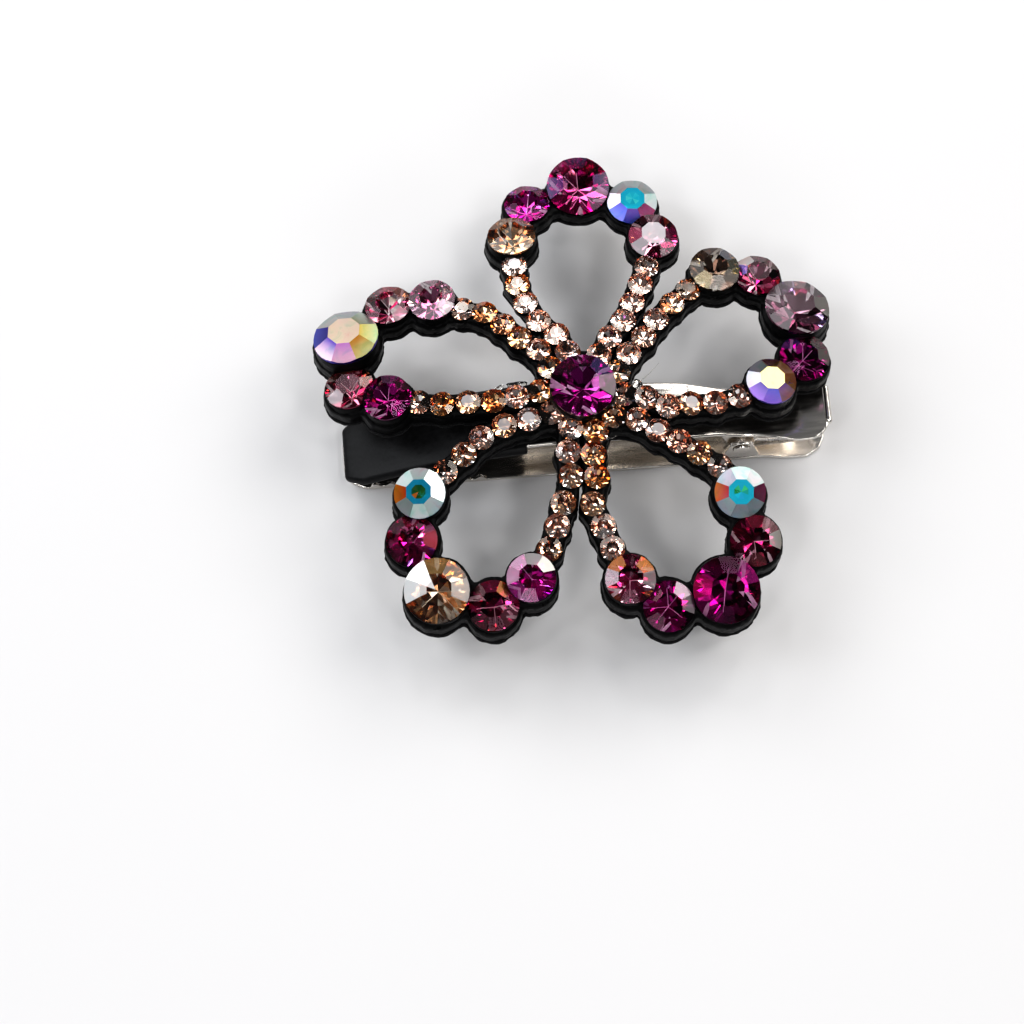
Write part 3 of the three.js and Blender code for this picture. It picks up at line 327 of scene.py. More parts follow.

# Facets of the coated stones, anticlockwise from the stone's +X: (colour, share of mirror). The colours are painted
# reflections and glare of single facets; on the aurora stones they are partly the coating's own colours.
W, MINT, PINK, BLUE, VIO, RED, ORG, YEL = (0.96, 0.97, 0.97), (0.78, 0.96, 0.92), (0.98, 0.72, 0.78), (0.16, 0.20, 0.98), (0.45, 0.22, 0.98), (0.80, 0.10, 0.10), (1.0, 0.45, 0.10), (1.0, 0.88, 0.35)
ROSE, GREY, LIME = (0.70, 0.12, 0.28), (0.75, 0.76, 0.80), (0.80, 0.95, 0.50)
DEEPGREEN, CYAN, TEAL, LEAF, BROWN, COPPER, INDIGO = (0.015, 0.10, 0.02), (0.03, 0.55, 0.80), (0.02, 0.40, 0.52), (0.05, 0.45, 0.16), (0.34, 0.13, 0.04), (0.62, 0.22, 0.08), (0.10, 0.07, 0.62)
COATS_AND_REFLECTIONS = {
    # facet i lies between the directions 22.5 + 45 i and 67.5 + 45 i degrees (turned by an eighth of a circle); a third entry is the colour at the girdle
    "stone_lower_left_1": [(W, 0.75, MINT), (MINT, 0.72, W), (MINT, 0.66, (0.86, 0.96, 0.94)), ((0.95, 0.10, 0.01), 0.60, (1.0, 0.30, 0.02)), (MINT, 0.66, W), (MINT, 0.72, (0.90, 0.92, 0.92)), (W, 0.75, MINT), (W, 0.85, (0.88, 0.99, 1.0)), ((0.01, 0.30, 0.48), 0.62),
                           [(DEEPGREEN, 0.75), (DEEPGREEN, 0.8), ((0.05, 0.12, 0.01), 0.75), (DEEPGREEN, 0.8), ((0.85, 0.26, 0.03), 0.7), (DEEPGREEN, 0.7), ((0.02, 0.22, 0.10), 0.7), ((0.03, 0.16, 0.04), 0.75)]],
    "stone_lower_right_1": [((0.98, 0.84, 0.86), 0.66, W), (W, 0.78, MINT), ((0.80, 0.66, 0.80), 0.55, (0.90, 0.82, 0.92)), ((0.78, 0.03, 0.10), 0.5, (0.95, 0.25, 0.06)), (W, 0.78, (0.84, 0.92, 0.94)), ((0.86, 0.62, 0.66), 0.42, GREY), (GREY, 0.62, W), ((0.60, 0.05, 0.14), 0.45, ROSE), ((0.015, 0.36, 0.50), 0.62),
                            [((0.10, 0.80, 0.30), 0.6), (CYAN, 0.55), ((0.08, 0.70, 0.30), 0.5), ((0.02, 0.22, 0.05), 0.7), ((0.03, 0.70, 0.95), 0.6), ((0.05, 0.60, 1.0), 0.5), (CYAN, 0.6), ((0.04, 0.50, 0.40), 0.6)]],
    "stone_top_4": [((0.99, 0.84, 0.74), 0.5, W), (MINT, 0.60, W), (W, 0.62, (0.93, 0.97, 0.97)), (W, 0.72, (0.86, 0.90, 1.0)), (BLUE, 0.62, (0.30, 0.30, 1.0)), (VIO, 0.55, INDIGO), ((0.55, 0.05, 0.25), 0.45, ROSE), (W, 0.85, (0.84, 0.99, 0.97)), ((0.015, 0.42, 0.58), 0.60),
                    [((0.05, 0.80, 1.0), 0.55), ((0.03, 0.65, 0.85), 0.6), ((0.05, 0.85, 1.0), 0.5), ((0.10, 0.95, 1.0), 0.5), ((0.05, 0.80, 0.95), 0.55), ((0.03, 0.62, 0.85), 0.5), ((0.10, 0.95, 1.0), 0.5), ((0.03, 0.70, 0.95), 0.6)]],
    "stone_right_5": [(COPPER, 0.42, (0.85, 0.45, 0.20)), (BROWN, 0.45, COPPER), ((0.62, 0.60, 0.60), 0.45, GREY), (GREY, 0.55, (0.66, 0.66, 0.75)), (INDIGO, 0.55, VIO), (BLUE, 0.50, VIO), (VIO, 0.50, (0.75, 0.35, 0.30)), (COPPER, 0.42, BROWN), ((1.0, 0.86, 0.36), 0.92)],
    "stone_left_3": [((0.86, 0.93, 0.55), 0.42, (0.90, 0.98, 0.90)), ((0.90, 0.96, 0.90), 0.38, W), ((0.86, 0.90, 0.86), 0.45, W), (INDIGO, 0.60, BLUE), ((0.22, 0.10, 0.85), 0.55, PINK), ((0.80, 0.30, 0.90), 0.50, (0.98, 0.55, 0.75)), ((0.98, 0.42, 0.05), 0.55, YEL), ((0.98, 0.72, 0.12), 0.48, LIME), ((1.0, 0.80, 0.62), 0.50)],
    "stone_top_5": [None, ((0.50, 0.14, 0.24), 0.35, (0.70, 0.50, 0.56)), None, ((0.55, 0.04, 0.14), 0.35), ((0.84, 0.80, 0.82), 0.55, (0.90, 0.84, 0.88)), None, ((0.92, 0.82, 0.86), 0.45), ((0.42, 0.04, 0.16), 0.30), ((0.90, 0.85, 0.89), 0.68)],
    "stone_lower_left_3": [None, ((1, 0.62, 0.24), 0.30), ((1, 1, 1), 0.80), ((1, 1, 1), 0.85), None, None, None, ((1, 1, 1), 0.30),
                           [((1, 1, 1), 0.0), ((1, 1, 1), 0.0), ((1, 0.99, 0.98), 0.85), ((1, 1, 1), 0.45), ((1, 1, 1), 0.0), ((1, 1, 1), 0.0), ((1, 1, 1), 0.0), ((1, 1, 1), 0.0)],
                           [((1, 1, 1), 0.0), ((1, 1, 1), 0.0), ((1, 0.99, 0.98), 0.6), ((1, 1, 1), 0.0), ((1, 1, 1), 0.0), ((1, 1, 1), 0.0), ((1, 1, 1), 0.0), ((1, 1, 1), 0.0)]],
    "stone_centre": [((0.42, 0.34, 0.95), 0.22), None, ((0.14, 0.03, 0.08), 0.25), None, None, None, None, ((0.62, 0.57, 0.56), 0.55, (0.72, 0.62, 0.66))],
    "stone_top_1": [((1, 0.96, 0.9), 0.35), ((0.72, 0.42, 0.26), 0.35), ((0.55, 0.28, 0.15), 0.35), None, None, ((1.0, 0.86, 0.66), 0.3), None, None],
    "stone_top_2": [None, ((0.36, 0.03, 0.16), 0.3), None, None, None, ((0.98, 0.10, 0.80), 0.25), None, None],
    "stone_top_3": [None, ((0.30, 0.06, 0.42), 0.28, (0.50, 0.36, 1.0)), None, ((0.40, 0.12, 0.60), 0.25, (0.62, 0.50, 1.0)), None, None, ((0.90, 0.72, 0.96), 0.30), ((0.55, 0.30, 0.85), 0.25, (0.80, 0.70, 1.0))],
    "stone_right_1": [((0.60, 0.64, 0.78), 0.38), ((0.36, 0.22, 0.18), 0.30), ((0.30, 0.17, 0.12), 0.35), None, ((1.0, 0.80, 0.22), 0.22), None, None, ((0.40, 0.40, 0.32), 0.5)],
    "stone_right_2": [((0.36, 0.20, 0.16), 0.35), ((0.55, 0.36, 0.40), 0.35), ((1.0, 0.965, 0.97), 0.66, (0.95, 0.80, 0.76)), ((0.34, 0.26, 0.92), 0.50), None, None, ((0.30, 0.03, 0.08), 0.35), None],
    "stone_right_3": [None, ((0.92, 0.74, 0.80), 0.35), ((0.96, 0.88, 0.92), 0.4), None, ((1.0, 0.92, 0.95), 0.4), None, None, ((0.66, 0.67, 0.60), 0.60)],
    "stone_right_4": [((0.42, 0.36, 0.34), 0.4), None, ((0.20, 0.10, 0.55), 0.3), None, None, None, None, ((0.56, 0.54, 0.50), 0.62)],
    "stone_left_1": [None, ((1, 0.9, 0.95), 0.35), None, ((1, 0.9, 0.95), 0.4), None, ((1, 0.85, 0.95), 0.4), ((0.98, 0.94, 0.97), 0.55), None],
    "stone_left_2": [((0.86, 0.24, 0.14), 0.35), ((0.66, 0.12, 0.16), 0.35), None, None, None, None, ((0.84, 0.74, 0.76), 0.62, (0.78, 0.62, 0.66)), None],
    "stone_left_4": [None, ((0.95, 0.45, 0.24), 0.62, (0.98, 0.62, 0.42)), ((0.60, 0.20, 0.16), 0.3), None, ((0.98, 0.90, 0.92), 0.45), None, None, ((0.95, 0.70, 0.62), 0.3)],
    "stone_left_5": [((0.16, 0.07, 0.09), 0.40), ((0.46, 0.02, 0.34), 0.45), None, None, None, None, None, None],
    "stone_lower_left_2": [None, ((0.62, 0.06, 0.10), 0.3), ((0.24, 0.12, 0.15), 0.45), None, ((0.20, 0.08, 0.12), 0.4), None, None, ((0.72, 0.08, 0.05), 0.3)],
    "stone_lower_left_4": [((1.0, 0.46, 0.10), 0.35), ((0.50, 0.06, 0.16), 0.3), ((0.20, 0.09, 0.10), 0.4), None, ((0.62, 0.30, 0.36), 0.35), None, ((0.80, 0.30, 0.40), 0.35), None],
    "stone_lower_left_5": [((0.74, 0.76, 0.70), 0.68), ((0.90, 0.87, 0.86), 0.75), ((1.0, 0.62, 0.86), 0.35), ((0.98, 0.60, 0.80), 0.40), ((0.92, 0.14, 0.70), 0.35), ((0.95, 0.55, 0.80), 0.35), None, None],
    "stone_lower_right_2": [((0.60, 0.34, 0.36), 0.35), ((0.42, 0.05, 0.10), 0.3), None, None, None, ((0.72, 0.22, 0.26), 0.30), None, ((1.0, 0.975, 0.962), 0.62, (0.80, 0.76, 0.70))],
    "stone_lower_right_3": [((0.70, 0.04, 0.42), 0.28), None, None, ((0.80, 0.02, 0.16), 0.25), ((0.62, 0.03, 0.34), 0.28), ((0.20, 0.06, 0.16), 0.30), None, None],
    "stone_lower_right_4": [((0.98, 0.84, 0.92), 0.35), None, ((0.22, 0.10, 0.10), 0.35), None, ((0.95, 0.55, 0.70), 0.3), None, None, ((1.0, 0.92, 0.96), 0.35)],
    "stone_lower_right_5": [((1.0, 0.40, 0.06), 0.42), None, ((0.95, 0.36, 0.06), 0.32), ((1.0, 0.86, 0.92), 0.40), None, ((0.24, 0.12, 0.15), 0.4), ((0.20, 0.10, 0.12), 0.3), ((1.0, 0.95, 0.97), 0.45)],
}


# ------------------------------------------------------------------ stones
def gem_shape(d, pav, seg, core=False, table=0.52, crown=0.19):
    """Chaton cut. Returns points (mm, girdle's lower edge at z = 0) and (face, kind, index); kinds: table, crown, girdle, main, half."""
    r, rt, h, P = d / 2, d / 2 * table, crown * d, pav * d
    n = 8 * seg
    zg = 0.035 * d
    s = (h - zg) / (r - rt * math.cos(math.pi / 8))
    pts, faces = [], []
    for i in range(8):
        a = i * math.pi / 4
        pts.append((rt * math.cos(a), rt * math.sin(a), h))
    G1 = len(pts)
    for k in range(n):
        a = k * 2 * math.pi / n
        off = (k % seg) / seg * math.pi / 4 - math.pi / 8
        rho = r * math.cos(off)
        pts.append((r * math.cos(a), r * math.sin(a), h - s * (rho - rt * math.cos(math.pi / 8))))
    G0 = len(pts)
    for k in range(n):
        a = k * 2 * math.pi / n
        pts.append((r * math.cos(a), r * math.sin(a), 0.0))
    M0 = len(pts)
    rp = 0.50 * r
    for i in range(8):
        a = (i + 0.5) * math.pi / 4
        pts.append((rp * math.cos(a), rp * math.sin(a), -P * (1 - rp * math.cos(math.pi / 8) / r)))
    C = len(pts)
    pts.append((0, 0, -P))
    if core:
        T0 = len(pts)
        for i in range(8):
            a = i * math.pi / 4
            pts.append((0.56 * rt * math.cos(a), 0.56 * rt * math.sin(a), h))
        pts.append((0, 0, h))
        for i in range(8):
            faces.append(([i, (i + 1) % 8, T0 + (i + 1) % 8, T0 + i], "table", i))
            faces.append(([T0 + i, T0 + (i + 1) % 8, T0 + 8], "core", i))
    else:
        faces.append(([i for i in range(8)], "table", 0))
    for i in range(8):
        ring = [G1 + (i * seg + k) % n for k in range(seg + 1)]
        faces.append(([i] + ring + [(i + 1) % 8], "crown", i))
    for k in range(n):
        faces.append(([G1 + k, G0 + k, G0 + (k + 1) % n, G1 + (k + 1) % n], "girdle", k))
    for i in range(8):
        faces.append(([C, M0 + i, G0 + (i * seg) % n, M0 + (i - 1) % 8], "main", i))
        half = seg // 2
        a = [G0 + (i * seg + k) % n for k in range(half + 1)]
        b = [G0 + (i * seg + half + k) % n for k in range(half + 1)]
        for k in range(half):
            faces.append(([M0 + i, a[k + 1], a[k]], "half", 2 * i))
            faces.append(([M0 + i, b[k + 1], b[k]], "half", 2 * i + 1))
    return pts, faces


LINES = {"gem_centre": 0.0, "gem_lower_right_3": 0.38, "gem_lower_right_5": 0.5, "gem_lower_right_4": 0.35, "gem_lower_left_2": 0.12, "gem_top_3": 0.35, "gem_top_2": 0.4, "gem_left_5": 0.35,
         "gem_lower_left_5": 0.12, "gem_left_4": 0.3, "gem_right_5": 0.1, "gem_left_3": 0.25}


def make_gem(name, at, axis, d, pav, turn_by, kind, seg, seed, coats_and_reflections=None, centre=None):
    rnd = np.random.RandomState(seed)
    pts, faces = gem_shape(d, pav, seg, bool(coats_and_reflections) and len(coats_and_reflections) > 9)
    G1 = 8
    rot = Vector((0, 0, 1)).rotation_difference(axis).to_matrix() @ Matrix.Rotation(turn_by, 3, "Z")
    P = np.array(pts) @ np.array(rot).T + np.array(at)
    me = bpy.data.meshes.new(name)
    me.from_pydata([tuple(p) for p in to_row(P)], [], [f[0] for f in faces])
    me.materials.append(GLASS[kind])
    me.materials.append(FOIL[kind])
    me.materials.append(RIDGE[kind])
    me.materials.append(PAINTED_FLASH[kind])
    fa = me.color_attributes.new("facet", "FLOAT_COLOR", "CORNER")
    ca = me.color_attributes.new("coat_and_reflection", "FLOAT_COLOR", "CORNER")
    inner, outer, accents = LOOKS[kind][1:]
    pick = {}
    for i, (f, what, idx) in enumerate(faces):
        rim = None
        if what in ("table", "crown", "core"):
            me.polygons[i].material_index = 0
            col, amount = (1, 1, 1), 0.0
            # listed crown facets get a coloured mirror layer: painted reflection and glare, on the aurora stones partly
            # the coating's own colour
            if coats_and_reflections and what == "crown" and coats_and_reflections[idx]:
                col, amount = coats_and_reflections[idx][:2]
                rim = coats_and_reflections[idx][2] if len(coats_and_reflections[idx]) > 2 else None
            if coats_and_reflections and what == "table" and len(coats_and_reflections) > 8:
                col, amount = coats_and_reflections[8][idx] if isinstance(coats_and_reflections[8], list) else coats_and_reflections[8]
            if what == "core":
                col, amount = coats_and_reflections[9][idx]
            if coats_and_reflections and not kind.startswith("aurora"):
                dim = 0.72 if what == "table" else (0.66 if kind == "magenta" else 0.46)
                if min(col) > 0.96:
                    dim = 1.0
                col = tuple(x * dim for x in col)
                rim = tuple(x * dim for x in rim) if rim else None
            elif coats_and_reflections and what != "table":
                if max(col) - min(col) > 0.35:
                    amount = min(0.88, amount + 0.30)
                col = tuple(x * (0.46 if max(col) - min(col) > 0.35 else 0.8) for x in col)
                rim = tuple(x * (0.50 if max(rim) - min(rim) > 0.35 else 0.8) for x in rim) if rim else None
        else:
            me.polygons[i].material_index = 1
            # pavilion facets: each takes the dark, middle or bright foil shade at random, which is painted shade or
            # painted highlight of that facet, and a few half facets take a painted dispersion flash
            key = (what, idx)
            if key not in pick:
                src = inner if what == "main" else outer
                u = rnd.rand()
                lo, hi = (0.42, 0.70) if seg > 2 else (0.14, 0.55)
                c = src[0] if u < lo else (src[1] if u < hi else src[2])
                if what == "half" and rnd.rand() < 0.10:
                    c = accents[rnd.randint(2)]
                k = rnd.uniform(0.8, 1.1)
                pick[key] = tuple(min(1.0, x * k) for x in c)
            col = pick[key] if what != "girdle" else tuple(x * 0.35 for x in outer[0])
            amount = 0.0
        if centre and what == "main" and idx in centre:
            col = centre[idx]
        for li in me.polygons[i].loop_indices:
            fa.data[li].color = (*(rim if rim and me.loops[li].vertex_index >= G1 else col), 1)
            ca.data[li].color = (amount, amount, amount, 1)
    me.update()
    if seg > 2:
        culet = min(range(len(pts)), key=lambda q: pts[q][2])
        bm = bmesh.new()
        bm.from_mesh(me)
        bm.verts.ensure_lookup_table()
        # a share of the ridges to the culet are bevelled in the paler ridge metal (painted highlight lines); a few
        # other ridges get wide bevels in the flash metal (painted flashes)
        share = LINES.get(name, 0.25)
        thin = [e for e in bm.verts[culet].link_edges if rnd.rand() < share]
        mains = {v for e in bm.verts[culet].link_edges for v in e.verts if v.index != culet}
        spokes = [e for v in sorted(mains, key=lambda q: q.index) for e in sorted(v.link_edges, key=lambda q: q.index) if e not in thin and not any(w.index == culet for w in e.verts) and abs(e.calc_face_angle(0)) > 0.05]
        wide = [spokes[q] for q in sorted(set(rnd.randint(0, len(spokes), 4)))] if spokes and not kind.startswith("aurora") else []
        bmesh.ops.bevel(bm, geom=thin, offset=0.05 * MM, offset_type="OFFSET", segments=1, profile=0.5, affect="EDGES", material=2, clamp_overlap=True)
        wide = [e for e in wide if e.is_valid]
        if wide:
            bmesh.ops.bevel(bm, geom=wide, offset=0.036 * d * MM, offset_type="OFFSET", segments=1, profile=0.5, affect="EDGES", material=3, clamp_overlap=True)
        bm.to_mesh(me)
        bm.free()
    ob = bpy.data.objects.new(name, me)
    scene.collection.objects.link(ob)
    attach(ob, "upper_clip")
    return ob


STONES = []
for i, (name, x, y, z, nx, ny, d) in enumerate(BIG):
    axis = Vector((nx, ny, math.sqrt(1 - nx * nx - ny * ny)))
    pav = PAV["L"] if name in LARGE else PAV["M"]
    kind = KIND[name]
    centre = None
    turn_by = (i * 0.61803) % (math.pi / 4)
    if name in COATS_AND_REFLECTIONS:
        turn_by = math.pi / 8 + (0.0 if len(COATS_AND_REFLECTIONS[name]) > 8 else 0.12 * math.sin(i * 2.4))
    if kind == "aurora":
        centre = {1: (0.03, 0.22, 0.07), 4: (0.04, 0.20, 0.07), 5: (0.85, 0.32, 0.04), 6: (0.03, 0.25, 0.08)} if name == "stone_lower_left_1" else {3: (0.03, 0.30, 0.10)}
    ob = make_gem("gem_" + name[6:], (x, y, z), axis, d, pav, turn_by, kind, 4, 100 + i, COATS_AND_REFLECTIONS.get(name), centre)
    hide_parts(name)
    STONES.append((x, y, z, axis, d, pav))
ROW_KINDS = {"stones_top_left_arm": ("silk", "silk", "peach", "silk"), "stones_left_lower_arm": ("honey", "silk", "honey", "amber"), "stones_lower_right_inner_arm": ("amber", "honey", "silk", "amber"),
             "stones_right_lower_arm": ("silk", "honey", "silk", "silk"), "stones_lower_left_inner_arm": ("silk", "silk", "honey", "silk")}
# small stones whose tables get a pale mirror layer: painted glints on their tables
PAINTED_GLINT_TABLES = {(0, 0), (3, 2), (6, 3), (6, 4), (8, 3), (5, 2)}
ROWPTS = {}
for j, (name, row, pts) in enumerate(ROWS):
    ROWPTS[row] = pts
    for i, (x, y) in enumerate(pts):
        axis = surf_normal(x, y)
        rnd = np.random.RandomState(1000 + 10 * j + i)
        tilt = Vector((rnd.uniform(-0.07, 0.07), rnd.uniform(-0.07, 0.07), 0))
        axis2 = (axis + tilt).normalized()
        kind = ROW_KINDS.get(name, ("honey", "silk", "silk", "peach"))[rnd.randint(4)]
        # the listed small stones get a pale table layer, a painted glint
        ob = make_gem("%s_%d" % (name.replace("stones_", "gems_"), i + 1), (x, y, surf(x, y) + SMALL_RAISE + (0.09 if i % 2 else 0.0)), axis2, SMALL_D * 1.045, PAV["S"], rnd.uniform(0, 0.78), kind, 2, 500 + 10 * j + i,
                      [None] * 8 + [((1.0, 0.96, 0.97), 0.62)] if (j, i) in PAINTED_GLINT_TABLES else None)
        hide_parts(name)
        STONES.append((x, y, surf(x, y) + SMALL_RAISE, axis2, SMALL_D, PAV["S"]))


# ------------------------------------------------------------------ black setting
def black_enamel():
    m, nt, out = node_material("black_enamel")
    n = noise_node(nt, 900, 4, 0.6)
    c = ramp(nt, n.outputs["Fac"], [(0.3, (0.0012, 0.0012, 0.0012)), (0.75, (0.004, 0.004, 0.0045))])
    b = principled(nt, **{"Roughness": 0.32, "Specular IOR Level": 0.07})
    nt.links.new(c.outputs["Color"], b.inputs["Base Color"])
    rn = noise_node(nt, 2600, 3, 0.6)
    nt.links.new(map_range(nt, rn.outputs["Fac"], 0.22, 0.55), b.inputs["Roughness"])
    nt.links.new(bump(nt, n.outputs["Fac"], 0.35, 0.00025), b.inputs["Normal"])
    nt.links.new(b.outputs[0], out.inputs["Surface"])
    return m


def black_felt():
    m, nt, out = node_material("black_felt")
    n = noise_node(nt, 3200, 6, 0.75)
    c = ramp(nt, n.outputs["Fac"], [(0.25, (0.002, 0.002, 0.002)), (0.55, (0.006, 0.006, 0.007)), (0.8, (0.018, 0.017, 0.019))])
    b = principled(nt, **{"Roughness": 0.95, "Sheen Weight": 0.06, "Sheen Roughness": 0.5, "Specular IOR Level": 0.08})
    nt.links.new(c.outputs["Color"], b.inputs["Base Color"])
    nt.links.new(bump(nt, n.outputs["Fac"], 0.9, 0.0003), b.inputs["Normal"])
    nt.links.new(b.outputs[0], out.inputs["Surface"])
    return m


ENAMEL, FELT = black_enamel(), black_felt()


def seg_dist(X, Y, a, b):
    dx, dy = b[0] - a[0], b[1] - a[1]
    L2 = dx * dx + dy * dy
    t = np.clip(((X - a[0]) * dx + (Y - a[1]) * dy) / L2, 0, 1)
    return np.hypot(X - a[0] - t * dx, Y - a[1] - t * dy)


def petal_parts(petal):
    tips = []
    for (name, x, y, z, nx, ny, d) in BIG:
        if name.startswith("stone_" + petal + "_"):
            tips.append((x - nx * 0.8, y - ny * 0.8, d / 2 + (RIM_LARGE if name in LARGE else RIM_MEDIUM)))
    segs = [((tips[i][0], tips[i][1]), (tips[i + 1][0], tips[i + 1][1]), 2.2) for i in range(4)]
    discs = list(tips)
    for row in PETALS[petal]:
        p = ROWPTS[row]
        near = min((tips[0], tips[-1]), key=lambda t: math.hypot(t[0] - p[0][0], t[1] - p[0][1]))
        chain = [(near[0], near[1])] + [tuple(q) for q in p] + [(p[-1][0] * 0.4, p[-1][1] * 0.4)]
        segs += [(chain[i], chain[i + 1], ARM_WEB - 0.12) for i in range(len(chain) - 1)]
        discs += [(q[0], q[1], ARM_HALF) for q in p]
    return discs, segs


def mid_angle(p, q):
    a = Vector(p).normalized() + Vector(q).normalized()
    return math.atan2(a.y, a.x)


EDGE = {"tl": mid_angle(ROWPTS["top_a"][4], ROWPTS["left_a"][4]), "rt": mid_angle(ROWPTS["right_a"][4], ROWPTS["top_b"][4]),
        "ll": mid_angle(ROWPTS["left_b"][4], ROWPTS["lowleft_a"][4]), "lr": mid_angle(ROWPTS["lowleft_b"][4], ROWPTS["lowright_b"][4]),
        "rr": mid_angle(ROWPTS["lowright_a"][4], ROWPTS["right_b"][4])}
SECTOR = {"top": ("rt", "tl"), "left": ("tl", "ll"), "lower_left": ("ll", "lr"), "lower_right": ("lr", "rr"), "right": ("rr", "rt")}


def petal_sdf(petal, grow, rough, seed):
    discs, segs = petal_parts(petal)
    a0, a1 = (EDGE[k] for k in SECTOR[petal])

    def f(X, Y):
        s = np.full(X.shape, 1e9)
        for (x, y, r) in discs:
            s = np.minimum(s, np.hypot(X - x, Y - y) - r)
        for (a, b, w) in segs:
            s = np.minimum(s, seg_dist(X, Y, a, b) - w)
        s = s - grow + rough * (wobble(X, Y, 2.2, seed) + 0.6 * wobble(X, Y, 6.0, seed + 1))
        # signed distances to the two edges of the petal's sector
        e0 = -(-math.sin(a0) * X + math.cos(a0) * Y) + 0.03
        e1 = -(math.sin(a1) * X - math.cos(a1) * Y) + 0.03
        s = np.maximum(s, e0)
        s = np.maximum(s, e1)
        return np.maximum(s, (HUB_R + 0.03) - np.hypot(X, Y))

    return f, discs


def pocket_floor(X, Y):
    """Height of the lowest stone back above each point: the setting stays under it."""
    out = np.full(X.shape, 1e9)
    for (sx, sy, sz, axis, d, pav) in STONES:
        r, P = d / 2, pav * d
        near = np.hypot(X - sx, Y - sy) < r * 1.25 + 0.4
        if not near.any():
            continue
        x, y = X[near] - sx, Y[near] - sy
        z = np.zeros(x.shape)
        for _ in range(12):
            h = x * axis.x + y * axis.y + z * axis.z
            rho = np.sqrt(np.maximum(x * x + y * y + z * z - h * h, 0))
            z = z + (P * 1.06 * (rho / r - 1) - h) / axis.z * 0.8
        h = x * axis.x + y * axis.y + z * axis.z
        rho = np.sqrt(np.maximum(x * x + y * y + z * z - h * h, 0))
        v = np.where(rho < r + 0.08, sz + z - 0.07, 1e9)
        out[near] = np.minimum(out[near], v)
    return out


